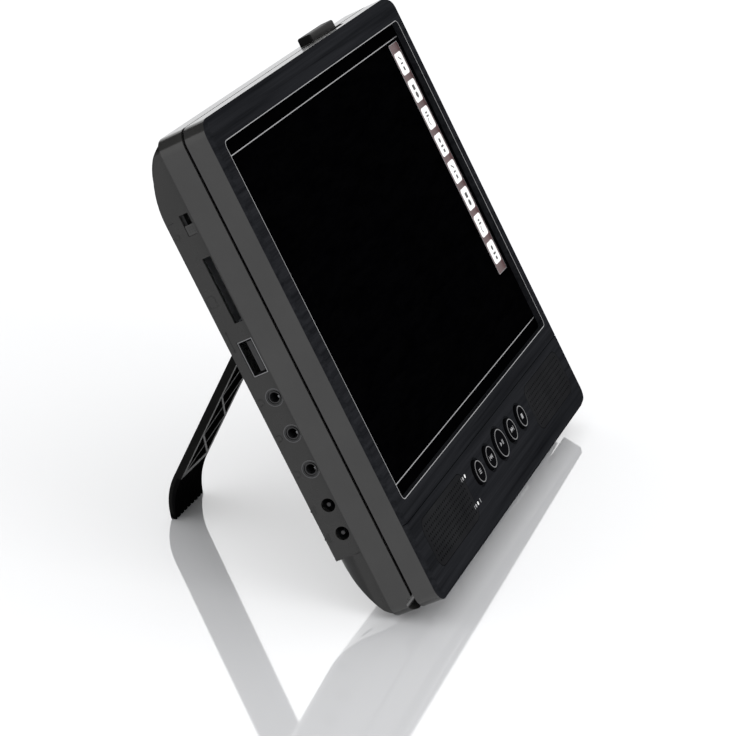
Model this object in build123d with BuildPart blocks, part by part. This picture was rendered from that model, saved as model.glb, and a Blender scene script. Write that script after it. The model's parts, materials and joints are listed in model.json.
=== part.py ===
"""Portable DVD player with a nine inch screen, standing on its kickstand.

Every piece is drawn in the player's own frame: X runs across the screen from its middle, Y runs
up the screen from the lower end of the flat front face, and Z points out of the screen, with the
flat front face at Z = 0. At the end the finished pieces are leaned back onto their feet.
"""

from build123d import *

import os
from math import acos, atan2, cos, degrees, hypot, radians, sin, sqrt

# ---------------------------------------------------------------- driving dimensions, millimetres

# Casings
FACE_W = 209.7  # flat part of the front face
FACE_H = 178.9
BEVEL = 1.66  # 45 degree bevel round the front face
CORNER_R = 6.0  # plan corners of all casings
WALL = 1.8
FRONT_DEPTH = 9.5  # display half, from the face to its back wall
BACK_WALL = 1.4  # back wall of the display half
GROOVE = 1.0  # open gap between the display half and the disc half
BAND_DEPTH = 9.0  # side band of the disc half
COVER_DEPTH = 13.0  # rounded back cover
LEAN = 27.5  # how far the screen leans back from upright, degrees
FOOT_LIFT = 0.7  # rubber feet below the lowest casing edge
OVER = 1.0  # how far a cutting shape runs past what it cuts

# Screen
PART_LINE_Y = 28.5  # between the screen bezel and the control bezel
PART_GAP = 0.3
WINDOW_W = 198.4
WINDOW_H = 135.3
WINDOW_Y = 102.9
WINDOW_R = 2.0
LENS_RECESS = 2.4
LENS_T = 1.0
LENS_CLEAR = 0.15
COLLAR_WALL = 2.2
LEDGE = 1.2
LEDGE_T = 0.8
LCD_W = 206.0
LCD_H = 126.0
CELL_T = 1.2
BACKLIGHT_T = 2.4
LAYER_GAP = 0.05

# Control panel
BUTTON_X = 0.6  # middle button
BUTTON_Y = 18.6
BUTTON_PITCH = 15.2
SMALL_BUTTON_R = 4.7
LARGE_BUTTON_R = 6.0
BUTTON_DISH = 1.0  # width of the dish round a button
DISH_DEPTH = 0.5
DISH_TAPER = 40
BUTTON_CLEAR = 0.2
BUTTON_PROUD = 0.8
BUTTON_TRAVEL = 0.5
FLANGE_T = 0.8
FLANGE_LIP = 0.9
STEM_R = 1.5
GRILLE_W = 51.7
GRILLE_H = 18.0
GRILLE_R = 5.0
GRILLE_X = 70.7
GRILLE_Y = 16.0
GRILLE_T = 1.0
GRILLE_CLEAR = 0.2
GRILLE_LAND = 1.2
GRILLE_HOLE_R = 0.45
GRILLE_PITCH = 1.9
SPEAKER_IN = 0.5  # speaker inside the outline of its grille
SPEAKER_R = 7.0
SPEAKER_RIM_T = 1.0
SPEAKER_RIM_W = 1.0
SPEAKER_BASKET_T = 2.6
BASKET_WALL = 1.0
CONE_GAP = 0.4
CONE_T = 0.6
CONE_CAP_R = 4.0
CONE_CAP_T = 0.7
CONE_CAP_TAPER = 30
MAGNET_R = 6.0
MAGNET_T = 2.2
INDICATOR_X = -42.8
INDICATOR_Y = (22.0, 11.0)
INDICATOR_R = 0.7
BOARD_T = 1.0
DISPLAY_BOARD_W = 82.0
DISPLAY_BOARD_LOW = 9.0
DISPLAY_BOARD_HIGH = 27.0
BOARD_REST_T = 0.7
SWITCH_SIZE = 6.0
SWITCH_T = 1.5
SWITCH_CORNER_R = 0.5

# Screws and the posts that take them
SCREW_R = 1.0
SCREW_CLEAR = 0.02
SCREW_HEAD_R = 2.0
SCREW_HEAD_T = 1.2
HEAD_CLEAR = 0.2
POST_R = 3.2
POST_T = 3.0
POST_WALL = 1.3  # round the sunk heads of the case screws
POST_CAP = 1.0  # solid end over a blind screw hole
STUD_CAP = 0.5
BOSS_R = 2.4
SCREW_TIP_GAP = 0.6
SCREEN_SCREW_IN = 8.85  # outer screen screws, from the sides of the flat face
SCREEN_SCREW_DROP = 6.56  # upper screen screws, from the top of the casing
SCREEN_SCREW_RISE = 5.0  # lower screen screws, above the part line
PANEL_SCREW_IN = 4.65
PANEL_SCREW_X = 38.5
PANEL_SCREW_Y = 5.0
BOARD_REST_X = 37.0
BOARD_REST_Y = 24.0
CASE_SCREW_IN = 9.51  # outer case screws, from the sides of the casing
CASE_SCREW_DROP = 12.56
CASE_SCREW_Y = 12.0
CASE_SCREW_SHIFT = 3.0  # middle case screws, nearer to the edge by this much
CASE_SEAT = 2.5  # seam to the heads of the case screws
CASE_SCREW_REACH = 4.0

# Hinge along the lower edge
HINGE_Y = 1.2
HINGE_BEHIND = 0.8  # axis behind the back wall of the display half
HINGE_X = 68.0
HINGE_PIN_R = 0.9
HINGE_PIN_CLEAR = 0.05
KNUCKLE_R = 2.2
KNUCKLE_GAP = 0.3
FRONT_KNUCKLE = 12.0
REAR_KNUCKLE = 7.0
HINGE_BAR = 5.0
HINGE_BAR_T = 1.8
RELIEF_R = 3.3  # hollow that the edge of the display half turns in
RAIL_W = 1.8
KNUCKLE_WEB_LOW = -1.2

# Disc deck
DECK_DROP = 0.4
DECK_PLATE_T = 1.5
WELL_X = 6.0
WELL_Y = 92.0
DISC_R = 60.0
SEAT_DROP = 2.9  # the disc's seat, behind the deck's front edge
WELL_CLEAR = 1.5
WELL_DEPTH = 4.3
WELL_WALL = 1.5
WELL_FLOOR = 1.2
LOBE_R = 11.0
LOBE_IN = 3.0  # lobe centres inside the disc's edge

# Back cover
COVER_STEP = 0.8  # back cover inside the side band
RIM_T = 0.5
RIM_STEP = 0.25
LOW_SWEEP = 36.0  # length of the rounded lower end of the back
HIGH_SWEEP = 28.5
SIDE_SWEEP = 12.0
PORT_STEP = 1.2
PORT_WALL = 1.6
PORT_LOW = 25.0
PORT_HIGH = 154.0
PORT_DEPTH = 10.7
PORT_IN = 14.0

# Kickstand
STAND_X = -27.1  # middle of the kickstand
STAND_W = 28.4
STAND_PIVOT_Y = 117.2
STAND_PIVOT_IN = 2.8  # pivot inside the back face
STAND_OUT = 1.6  # pivot to outer face
STAND_IN = 1.4  # pivot to inner face
STAND_STRAIGHT = 94.0
STAND_TIP_A = 110.1  # outer tip, along the arm
STAND_TIP_B = -4.6  # outer tip, across the arm
STAND_TIP_T = 2.0
STAND_HUB_R = 2.3
STAND_CLEAR = 0.5
STAND_PIN_R = 1.0
STAND_PIN_CLEAR = 0.05
STAND_PIN_END = 0.6  # pin short of its cheeks' outer faces
HEEL_SHARE = 0.9  # part of the clearance that the arm's heel takes up as it turns
STAND_EDGE = 2.6
STAND_WEB_CUT = 1.6
STAND_RIB = 1.0
STAND_CELLS = 5
FLUTE_W = 1.4
FLUTE_DEPTH = 0.6
FLUTE_COUNT = 8
FLUTE_START = 2.0
TOE_CORE = 1.4
TROUGH_WALL = 1.3
CHEEK = 3.0

# Release button
LATCH_X = 52.9
LATCH_W = 28.0
LATCH_PROUD = 3.0
LATCH_EDGE = 0.9
LATCH_DEPTH = 5.8
LATCH_CLEAR = 0.25
LATCH_TRAVEL = 2.0
LATCH_LIP = 1.6
SCOOP_REACH = 4.2
SCOOP_DEPTH = 1.1
LATCH_R = 0.8
LATCH_GRIP = 1.0
LATCH_RIBS = 7
LATCH_BAY = 10.4
CATCH_W = 8.0
CATCH_T = 1.2
CATCH_DROP = 6.96  # catch below the top of the casing
CATCH_L = 5.4
CATCH_FOOT_W = 3.6
CATCH_FOOT_T = 0.96
CATCH_LIP_W = 2.16
CATCH_CLEAR = 0.2
HOOK_H = 3.9
HOOK_GAP = 0.6
HOOK_REACH = 4.8  # back of the hook beyond the catch
HOOK_LIP_W = 2.4
HOOK_LIP_T = 0.8
SPRING_T = 0.4
SPRING_H = 2.0
SPRING_CLEAR = 0.3
SPRING_OVER = 1.5
SPRING_REST_L = 4.0
SPRING_REST_T = 1.6
SPRING_REST_GAP = 0.2

# Ports on the left side. Heights are behind the seam between band and back cover.
PORT_INSET = 0.3  # metal shells and the slider, inside the outer face
PORT_CLEAR = 0.1
PORT_BOARD_DROP = 7.7
PORT_BOARD_W = 25.0
PORT_BOARD_L = 127.0
BOARD_GAP = 0.3
USB_Y = 101.3
USB_DROP = 4.15
USB_W = 12.5
USB_H = 5.1
USB_SHELL = 0.3
USB_L = 14.0
USB_BACK = 2.0
TONGUE_IN = 1.2
TONGUE_SIDE = 0.7
TONGUE_T = 1.8
TONGUE_LIFT = 0.1
CARD_Y = 126.45
CARD_DROP = 2.7
CARD_W = 24.34
CARD_H = 3.2
CARD_L = 22.0
CARD_WALL = 1.5
CARD_BACK = 2.0
CARD_LID = 0.7
SLOT_Y = 151.15
SLOT_DROP = 3.1
SLOT_W = 7.7
SLOT_H = 3.6
SLOT_WALL = 1.5
SLOT_LID = 1.0
SLOT_L = 6.0
SLOT_DEPTH = 3.0
KNOB_W = 3.6
KNOB_SIDE = 0.2  # knob's stem inside the knob
KNOB_STEM_END = 0.4  # stem short of the bottom of its slot
KNOB_DOT_R = 0.28
KNOB_DOT_PITCH = 0.9
KNOB_DOT_PROUD = 0.2
KNOB_DOT_ROOT = 0.1
JACK_L = 13.0
AUDIO_Y = (85.9, 72.1, 58.3)
AUDIO_DROP = 3.5
AUDIO_RING_R = 2.9
AUDIO_BORE_R = 1.8
AUDIO_GROOVE_R = 2.15
AUDIO_GROOVE_W = 0.35
AUDIO_BODY_W = 7.0
AUDIO_LID = 3.1  # top of the jack's body above the bore's axis
DC_Y = (44.4, 33.5)
DC_DROP = 3.8
DC_HOLE_R = 2.5
DC_PIN_R = 0.7
DC_PIN_IN = 0.8
DC_BACK = 3.0
DC_BODY_W = 9.0
DC_LID = 3.4

# Disc drive. Heights are behind the disc's seat.
SPINDLE_R = 1.0
SPINDLE_END = 0.4
SPINDLE_HOLE_R = 4.0
TABLE_R = 13.5
TABLE_T = 1.6
TABLE_HOLE_R = 15.5
HUB_R = 7.3
HUB_T = 2.1
HUB_CHAMFER = 0.8
FINGER_IN = 1.65  # fingers' middles inside the hub's edge
FINGER_W = 3.0
FINGER_D = 2.0
FINGER_CLEAR = 0.25
FINGER_LIFT = 0.3  # fingers above the disc's seat
FINGER_T = 1.2
SLED_IN = 25.0  # lens to spindle at the first track
SLED_OUT = 56.5
SLED_DROP = 3.8
SLED_W = 38.0
SLED_L = 24.0
SLED_T = 6.6
SLED_R = 2.0
SLED_ARM_W = 4.0
SLED_ARM_T = 2.0
SLED_ARM_GAP = 0.5
LENS_R = 2.2
LENS_CROWN_R = 0.6
LENS_SUNK = 0.2
LENS_HOLDER_W = 9.6
LENS_HOLDER_WALL = 0.8
LENS_HOLDER_T = 1.8
LENS_SLOT_W = 12.0
LENS_SLOT_END = 3.4
CHASSIS_DROP = 4.2
CHASSIS_T = 1.8
CHASSIS_R = 2.0
CHASSIS_LOW = 12.8
CHASSIS_HIGH = 114.0
CHASSIS_LEFT = -20.0
CHASSIS_RIGHT = 38.5
CHASSIS_LIP = 2.6  # end walls beyond the axes that they hold
ROD_R = 1.5
ROD_DROP = 7.6
ROD_CLEAR = 0.05
ROD_SPREAD = 14.5
ROD_WALL = 3.0
ROD_WALL_SIDE = 2.2
ROD_END = 0.5
LEAD_X = 31.0
LEAD_DROP = 9.0
LEAD_R = 1.5
LEAD_LOW = 22.0
LEAD_WALL_W = 8.0
LEAD_END = 0.4
MOTOR_R = 12.0
MOTOR_T = 5.0
MOTOR_GAP = 0.5
MOTOR_WALL_Y = 88.0
SLED_MOTOR_R = 5.0
SLED_MOTOR_L = 13.0
SLED_GAP = 1.0  # round the sled in its window
SLED_SPARE = 2.0  # beyond both ends of the sled's travel
BUSH_R = 3.4
BUSH_FLANGE = 1.0
BUSH_FLANGE_T = 0.6
BUSH_X = (-15.5, 34.0)
BUSH_Y = (17.0, 109.0)
STUD_R = 1.8
STUD_DROP = 6.6
DRIVE_SCREW_L = 2.6

# Main board and battery
MAIN_BOARD_X = 79.0
MAIN_BOARD_Y = 87.0
MAIN_BOARD_W = 42.0
MAIN_BOARD_H = 126.0
MAIN_BOARD_RISE = 9.7  # front of the board from the outer back face
MAIN_BOARD_T = 1.2
BOARD_SCREW_X = 17.0  # from the middle of the board
BOARD_SCREW_Y = 53.0
BOARD_SCREW_L = 5.0
# Square parts on the board: place from its middle, width, height and thickness.
CHIPS = (
    (-2, 4, 15, 15, 1.6),
    (-5, -26, 11, 20, 1.2),
    (8, 38, 18, 9, 3.0),
    (10, -8, 8, 6, 1.0),
)
CAPACITOR_X = 12.0
CAPACITOR_Y = 20.0
CAPACITOR_R = 3.0
CAPACITOR_H = 4.5
CAPACITOR_PITCH = 8.0
BATTERY_X = -62.5
BATTERY_Y = 93.0
BATTERY_W = 28.0
BATTERY_H = 52.0
BATTERY_T = 6.2
BATTERY_R = 2.0
BATTERY_GAP = 2.0

# Rubber feet under the lower edge
FOOT_X = 76.0
FOOT_W = 26.0
FOOT_D = 3.4
FOOT_EDGE = 0.4

# ---------------------------------------------------------------- places worked out from the above

OUTER_W = FACE_W + 2 * BEVEL
OUTER_H = FACE_H + 2 * BEVEL
LOW_Y = -BEVEL
HIGH_Y = FACE_H + BEVEL
FRONT_BACK_Z = -FRONT_DEPTH
FRONT_FLOOR_Z = FRONT_BACK_Z + BACK_WALL
POST_TOP_Z = FRONT_BACK_Z + POST_T
DECK_Z = FRONT_BACK_Z - GROOVE
SEAM_Z = DECK_Z - BAND_DEPTH
BACK_Z = SEAM_Z - COVER_DEPTH
INNER_BACK_Z = BACK_Z + WALL
HINGE_Z = FRONT_BACK_Z - HINGE_BEHIND
STAND_PIVOT_Z = BACK_Z + STAND_PIVOT_IN
SPEAKER_W = GRILLE_W - 2 * SPEAKER_IN
SPEAKER_H = GRILLE_H - 2 * SPEAKER_IN
BASKET_IN = SPEAKER_RIM_W + BASKET_WALL
CONE_IN = BASKET_IN + CONE_GAP
LENS_Z = -LENS_RECESS
LEDGE_Z = LENS_Z - LENS_T
CELL_Z = LEDGE_Z - LEDGE_T - LAYER_GAP
BACKLIGHT_Z = CELL_Z - CELL_T - LAYER_GAP
DISPLAY_BOARD_Z = FRONT_FLOOR_Z + BOARD_REST_T + BOARD_T
FLANGE_Z = -BEVEL - LAYER_GAP
SPEAKER_Z = -BEVEL - LAYER_GAP
DECK_TOP_Z = DECK_Z - DECK_DROP
DECK_UNDER_Z = DECK_TOP_Z - DECK_PLATE_T
WELL_TOP_Z = DECK_TOP_Z - WELL_DEPTH
WELL_UNDER_Z = WELL_TOP_Z - WELL_FLOOR
WELL_R = DISC_R + WELL_CLEAR
LOBE_REACH = DISC_R - LOBE_IN
SEAT_Z = DECK_Z - SEAT_DROP
SLED_Z = SEAT_Z - SLED_DROP
CHASSIS_Z = SEAT_Z - CHASSIS_DROP
CHASSIS_BACK_Z = CHASSIS_Z - CHASSIS_T
STUD_Z = SEAT_Z - STUD_DROP
ROD_Z = SEAT_Z - ROD_DROP
LEAD_Z = SEAT_Z - LEAD_DROP
SLED_Y = WELL_Y - SLED_IN
SLED_END_Y = WELL_Y - SLED_OUT - SLED_L / 2 - SLED_SPARE
ROD_PLACES = [(WELL_X + side * ROD_SPREAD, ROD_Z) for side in (-1, 1)]
MAIN_BOARD_Z = BACK_Z + MAIN_BOARD_RISE
PORT_X = -(OUTER_W / 2 - PORT_STEP)
PORT_INNER_X = PORT_X + PORT_WALL
PORT_BOARD_Z = SEAM_Z - PORT_BOARD_DROP
PORT_FLOOR_Z = PORT_BOARD_Z - BOARD_T
USB_Z = SEAM_Z - USB_DROP
CARD_Z = SEAM_Z - CARD_DROP
SLOT_Z = SEAM_Z - SLOT_DROP
AUDIO_Z = SEAM_Z - AUDIO_DROP
DC_Z = SEAM_Z - DC_DROP
KNOB_Y = SLOT_Y - (SLOT_W - KNOB_W) / 2 + PORT_CLEAR
LATCH_Z = DECK_Z - LATCH_EDGE - LATCH_DEPTH / 2
INNER_HIGH_Y = HIGH_Y - WALL
CATCH_Y = HIGH_Y - CATCH_DROP
CATCH_END_Z = FRONT_BACK_Z - CATCH_L
LATCH_FOOT_Y = CATCH_Y + CATCH_T / 2 + LATCH_TRAVEL + CATCH_CLEAR
HOOK_Y = CATCH_Y - HOOK_REACH
HOOK_Z = CATCH_END_Z - HOOK_GAP
SPRING_Y = LATCH_FOOT_Y - LATCH_TRAVEL - SPRING_CLEAR
SPRING_START = LATCH_X + CATCH_W / 2 + SPRING_OVER
SPRING_END = LATCH_X + LATCH_W / 2 + LATCH_LIP + SPRING_OVER
USB_SHELL_W = USB_W + 2 * USB_SHELL
USB_SHELL_H = USB_H + 2 * USB_SHELL
HINGE_PLACES = (-HINGE_X, HINGE_X)
HINGE_HALF = FRONT_KNUCKLE / 2 + KNUCKLE_GAP + REAR_KNUCKLE

RAIL_Y = HINGE_Y + RELIEF_R + RAIL_W
RAIL_Z = HINGE_Z - RELIEF_R - RAIL_W

SCREEN_SCREW_X = FACE_W / 2 - SCREEN_SCREW_IN
SCREEN_SCREWS = [
    (x, y)
    for y in (PART_LINE_Y + SCREEN_SCREW_RISE, HIGH_Y - SCREEN_SCREW_DROP)
    for x in (-SCREEN_SCREW_X, 0, SCREEN_SCREW_X)
]
PANEL_SCREWS = [
    (side * x, PANEL_SCREW_Y)
    for side in (-1, 1)
    for x in (FACE_W / 2 - PANEL_SCREW_IN, PANEL_SCREW_X)
]
BOARD_RESTS = [(side * BOARD_REST_X, BOARD_REST_Y) for side in (-1, 1)]
CASE_SCREW_X = OUTER_W / 2 - CASE_SCREW_IN
CASE_SCREW_TOP = HIGH_Y - CASE_SCREW_DROP
CASE_SCREWS = [(side * CASE_SCREW_X, y) for side in (-1, 1) for y in (CASE_SCREW_Y, CASE_SCREW_TOP)]
CASE_SCREWS += [(0, CASE_SCREW_Y - CASE_SCREW_SHIFT), (0, CASE_SCREW_TOP + CASE_SCREW_SHIFT)]
CASE_SEAT_Z = SEAM_Z - CASE_SEAT
BOARD_SCREWS = [
    (MAIN_BOARD_X + x * BOARD_SCREW_X, MAIN_BOARD_Y + y * BOARD_SCREW_Y)
    for x in (-1, 1)
    for y in (-1, 1)
]
BUTTON_STEPS = {"menu": -2, "back": -1, "play": 0, "forward": 1, "stop": 2}
BUSHES = [(x, y) for x in BUSH_X for y in BUSH_Y]

# The floor lies this far below the frame's origin, measured square to the floor.
FLOOR_DROP = BEVEL * cos(radians(LEAN)) - SEAM_Z * sin(radians(LEAN)) + FOOT_LIFT
PIVOT_HEIGHT = (
    STAND_PIVOT_Y * cos(radians(LEAN)) + STAND_PIVOT_Z * sin(radians(LEAN)) + FLOOR_DROP
)
TIP_REACH = hypot(STAND_TIP_A, STAND_TIP_B)
TIP_TURN = degrees(acos(PIVOT_HEIGHT / TIP_REACH) - atan2(STAND_TIP_B, STAND_TIP_A))
STAND_ANGLE = LEAN + TIP_TURN
STAND_ORIGIN = (STAND_X - STAND_W / 2, STAND_PIVOT_Y, STAND_PIVOT_Z)
FOLDED = Plane(origin=STAND_ORIGIN, x_dir=(0, -1, 0), z_dir=(1, 0, 0))
DEPLOYED = Plane(
    origin=STAND_ORIGIN,
    x_dir=(0, -cos(radians(STAND_ANGLE)), -sin(radians(STAND_ANGLE))),
    z_dir=(1, 0, 0),
)

# ---------------------------------------------------------------- shared outlines


def casing_outline(inset=0.0):
    """Plan outline of the player in the open sketch, moved inwards by inset."""
    with Locations((0, FACE_H / 2)):
        RectangleRounded(OUTER_W - 2 * inset, OUTER_H - 2 * inset, CORNER_R - inset)


def faceplate(low, high):
    """Bevelled front plate between two heights, in the open part."""
    with BuildSketch(Plane.XY.offset(-BEVEL)) as rear:
        casing_outline()
    with BuildSketch(Plane.XY) as front:
        casing_outline(BEVEL)
    loft([rear.sketch, front.sketch], ruled=True)
    with BuildSketch(Plane.XY.offset(-BEVEL)) as stretch:
        with Locations((0, low)):
            Rectangle(OUTER_W + 2 * OVER, high - low, align=(Align.CENTER, Align.MIN))
    extrude(stretch.sketch, amount=BEVEL, mode=Mode.INTERSECT)


def screw_bosses(places):
    """Bosses behind a faceplate that take the display screws, in the open part."""
    with BuildSketch(Plane.XY.offset(-BEVEL)) as bosses:
        with Locations(*places):
            Circle(BOSS_R)
    extrude(bosses.sketch, amount=POST_TOP_Z + BEVEL)
    with BuildSketch(Plane.XY.offset(-BEVEL)) as holes:
        with Locations(*places):
            Circle(SCREW_R + SCREW_CLEAR)
    extrude(holes.sketch, amount=POST_TOP_Z + BEVEL, mode=Mode.SUBTRACT)


def speaker_outline(side, inset=0.0):
    """Outline of the speaker on one side, in the open sketch, moved inwards by inset."""
    with Locations((side * GRILLE_X, GRILLE_Y)):
        RectangleRounded(SPEAKER_W - 2 * inset, SPEAKER_H - 2 * inset, SPEAKER_R - inset)


def well_outline(extra=0.0):
    """Disc well with four finger lobes, in the open sketch."""
    with Locations((WELL_X, WELL_Y)):
        Circle(WELL_R + extra)
        with PolarLocations(LOBE_REACH, 4, start_angle=45):
            Circle(LOBE_R + extra)


def cover_solid(inset):
    """Closed rounded shell of the back cover, with its faces moved inwards by inset."""
    back = BACK_Z + inset
    reach = {}
    for name, sweep_length in (("low", LOW_SWEEP), ("high", HIGH_SWEEP), ("side", SIDE_SWEEP)):
        radius = (sweep_length**2 + COVER_DEPTH**2) / (2 * COVER_DEPTH)
        reach[name] = sqrt((radius - inset) ** 2 - (radius - COVER_DEPTH) ** 2)
    low_flat = LOW_Y + COVER_STEP + LOW_SWEEP
    high_flat = HIGH_Y - COVER_STEP - HIGH_SWEEP
    side_flat = OUTER_W / 2 - COVER_STEP - SIDE_SWEEP
    low_end = (low_flat - reach["low"], SEAM_Z)
    high_end = (high_flat + reach["high"], SEAM_Z)
    side_end = side_flat + reach["side"]
    with BuildPart() as solid:
        with BuildSketch(Plane.XY.offset(SEAM_Z)):
            casing_outline(COVER_STEP + inset)
        extrude(amount=back - SEAM_Z)
        with BuildSketch(Plane.YZ):
            with BuildLine():
                TangentArc((low_flat, back), low_end, tangent=(-1, 0))
                Line((low_flat, back), (high_flat, back))
                TangentArc((high_flat, back), high_end, tangent=(1, 0))
                Line(high_end, low_end)
            make_face()
        extrude(amount=OUTER_W, both=True, mode=Mode.INTERSECT)
        with BuildSketch(Plane.XZ):
            with BuildLine():
                TangentArc((-side_flat, back), (-side_end, SEAM_Z), tangent=(-1, 0))
                Line((-side_flat, back), (side_flat, back))
                TangentArc((side_flat, back), (side_end, SEAM_Z), tangent=(1, 0))
                Line((side_end, SEAM_Z), (-side_end, SEAM_Z))
            make_face()
        extrude(amount=2 * OUTER_H, both=True, mode=Mode.INTERSECT)
    return solid.part


def port_blocks(inset, floor_z):
    """Flat-sided blocks that carry the ports, one each side, reaching back to floor_z."""
    low_y = PORT_LOW + inset
    high_y = HIGH_Y - COVER_STEP - inset
    with BuildPart() as blocks:
        with BuildSketch(Plane.XY.offset(SEAM_Z)):
            casing_outline(PORT_STEP + inset)
            with Locations((0, FACE_H / 2)):
                Rectangle(OUTER_W - 2 * PORT_STEP - 2 * PORT_IN, OUTER_H, mode=Mode.SUBTRACT)
        extrude(amount=floor_z - SEAM_Z)
        with BuildSketch(Plane.YZ):
            with BuildLine():
                Polyline((high_y, SEAM_Z), (low_y, SEAM_Z), (low_y, floor_z), (PORT_HIGH, floor_z))
                TangentArc((PORT_HIGH, floor_z), (high_y, SEAM_Z), tangent=(1, 0))
            make_face()
        extrude(amount=OUTER_W, both=True, mode=Mode.INTERSECT)
    return blocks.part


def port_box(low_x, high_x, middle_y, width, low_z, high_z):
    """Block of a port in the open part, between two distances from the screen's middle."""
    with BuildSketch(Plane.YZ.offset(low_x)) as end:
        with Locations((middle_y, low_z)):
            Rectangle(width, high_z - low_z, align=(Align.CENTER, Align.MIN))
    extrude(end.sketch, amount=high_x - low_x)


def port_opening(low_x, high_x, middle_y, middle_z, width, height):
    """Straight opening of a port in the open part."""
    with BuildSketch(Plane.YZ.offset(low_x)) as end:
        with Locations((middle_y, middle_z)):
            Rectangle(width, height)
    extrude(end.sketch, amount=high_x - low_x, mode=Mode.SUBTRACT)


def screw_group(places, seat_z, head_z, tip_z):
    """A set of equal screws with their heads between seat_z and head_z."""
    with BuildPart() as screws:
        with BuildSketch(Plane.XY.offset(seat_z)):
            with Locations(*places):
                Circle(SCREW_HEAD_R)
                RegularPolygon(SCREW_HEAD_R / 3, 6, mode=Mode.SUBTRACT)
        extrude(amount=head_z - seat_z)
        with BuildSketch(Plane.XY.offset(seat_z)):
            with Locations(*places):
                Circle(SCREW_HEAD_R)
        extrude(amount=(head_z - seat_z) / 2)
        with BuildSketch(Plane.XY.offset(seat_z)):
            with Locations(*places):
                Circle(SCREW_R)
        extrude(amount=tip_z - seat_z)
    return screws


pieces = {}

# ---------------------------------------------------------------- display half

with BuildPart() as front_casing:
    with BuildSketch(Plane.XY.offset(FRONT_BACK_Z)):
        casing_outline()
    extrude(amount=FRONT_DEPTH - BEVEL)
    with BuildSketch(Plane.XY.offset(FRONT_FLOOR_Z)):
        casing_outline(WALL)
    extrude(amount=FRONT_DEPTH - BEVEL - BACK_WALL, mode=Mode.SUBTRACT)
    with BuildSketch(Plane.XY.offset(FRONT_BACK_Z)):
        with Locations(*SCREEN_SCREWS, *PANEL_SCREWS):
            Circle(POST_R)
    extrude(amount=POST_T)
    with BuildSketch(Plane.XY.offset(FRONT_FLOOR_Z)):
        with Locations(*BOARD_RESTS):
            Circle(BOSS_R)
    extrude(amount=BOARD_REST_T)
    # At each hinge: a bar that stiffens the corner, a hollow for both halves' knuckles, then
    # this half's own knuckle.
    for place in HINGE_PLACES:
        with BuildSketch(Plane.YZ.offset(place - HINGE_HALF - OVER)):
            with Locations((0, FRONT_FLOOR_Z)):
                Rectangle(HINGE_BAR, HINGE_BAR_T, align=(Align.MIN, Align.MIN))
        extrude(amount=2 * (HINGE_HALF + OVER))
        with BuildSketch(Plane.YZ.offset(place - HINGE_HALF - KNUCKLE_GAP)):
            with Locations((HINGE_Y, HINGE_Z)):
                Circle(KNUCKLE_R + KNUCKLE_GAP)
                Rectangle(
                    2 * KNUCKLE_R, 2 * (KNUCKLE_R + KNUCKLE_GAP), align=(Align.MAX, Align.CENTER)
                )
        extrude(amount=2 * (HINGE_HALF + KNUCKLE_GAP), mode=Mode.SUBTRACT)
        with BuildSketch(Plane.YZ.offset(place - FRONT_KNUCKLE / 2)):
            with Locations((HINGE_Y, HINGE_Z)):
                Circle(KNUCKLE_R)
                Rectangle(
                    2 * KNUCKLE_R,
                    FRONT_FLOOR_Z + HINGE_BAR_T / 2 - HINGE_Z,
                    align=(Align.CENTER, Align.MIN),
                )
                Circle(HINGE_PIN_R + HINGE_PIN_CLEAR, mode=Mode.SUBTRACT)
        extrude(amount=FRONT_KNUCKLE)
    # Screw holes from behind, with sunk heads.
    with BuildSketch(Plane.XY.offset(FRONT_BACK_Z)):
        with Locations(*SCREEN_SCREWS, *PANEL_SCREWS):
            Circle(SCREW_HEAD_R + HEAD_CLEAR)
    extrude(amount=SCREW_HEAD_T + HEAD_CLEAR, mode=Mode.SUBTRACT)
    with BuildSketch(Plane.XY.offset(FRONT_BACK_Z)):
        with Locations(*SCREEN_SCREWS, *PANEL_SCREWS):
            Circle(SCREW_R + HEAD_CLEAR)
    extrude(amount=POST_T, mode=Mode.SUBTRACT)
    # Finger scoop in the top edge, in front of the release button.
    with BuildSketch(Plane.XZ.offset(-HIGH_Y)):
        with BuildLine():
            Polyline(
                (LATCH_X - LATCH_W / 2, FRONT_BACK_Z),
                (LATCH_X - LATCH_W / 4, FRONT_BACK_Z + SCOOP_REACH),
                (LATCH_X + LATCH_W / 4, FRONT_BACK_Z + SCOOP_REACH),
                (LATCH_X + LATCH_W / 2, FRONT_BACK_Z),
                close=True,
            )
        make_face()
    extrude(amount=SCOOP_DEPTH, mode=Mode.SUBTRACT)
pieces["front_casing"] = front_casing

with BuildPart() as screen_bezel:
    faceplate(PART_LINE_Y + PART_GAP / 2, HIGH_Y + OVER)
    with BuildSketch(Plane.XY.offset(-BEVEL)):
        with Locations((0, WINDOW_Y)):
            RectangleRounded(
                WINDOW_W + 2 * COLLAR_WALL, WINDOW_H + 2 * COLLAR_WALL, WINDOW_R + COLLAR_WALL
            )
    extrude(amount=LEDGE_Z - LEDGE_T + BEVEL)
    screw_bosses(SCREEN_SCREWS)
    with BuildSketch(Plane.XY.offset(LEDGE_Z)):
        with Locations((0, WINDOW_Y)):
            RectangleRounded(WINDOW_W, WINDOW_H, WINDOW_R)
    extrude(amount=-LEDGE_Z, mode=Mode.SUBTRACT)
    with BuildSketch(Plane.XY.offset(LEDGE_Z - LEDGE_T)):
        with Locations((0, WINDOW_Y)):
            Rectangle(WINDOW_W - 2 * LEDGE, WINDOW_H - 2 * LEDGE)
    extrude(amount=LEDGE_T, mode=Mode.SUBTRACT)
pieces["screen_bezel"] = screen_bezel

with BuildPart() as screen_lens:
    with BuildSketch(Plane.XY.offset(LEDGE_Z)):
        with Locations((0, WINDOW_Y)):
            RectangleRounded(
                WINDOW_W - 2 * LENS_CLEAR, WINDOW_H - 2 * LENS_CLEAR, WINDOW_R - LENS_CLEAR
            )
    extrude(amount=LENS_T)
pieces["screen_lens"] = screen_lens

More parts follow.
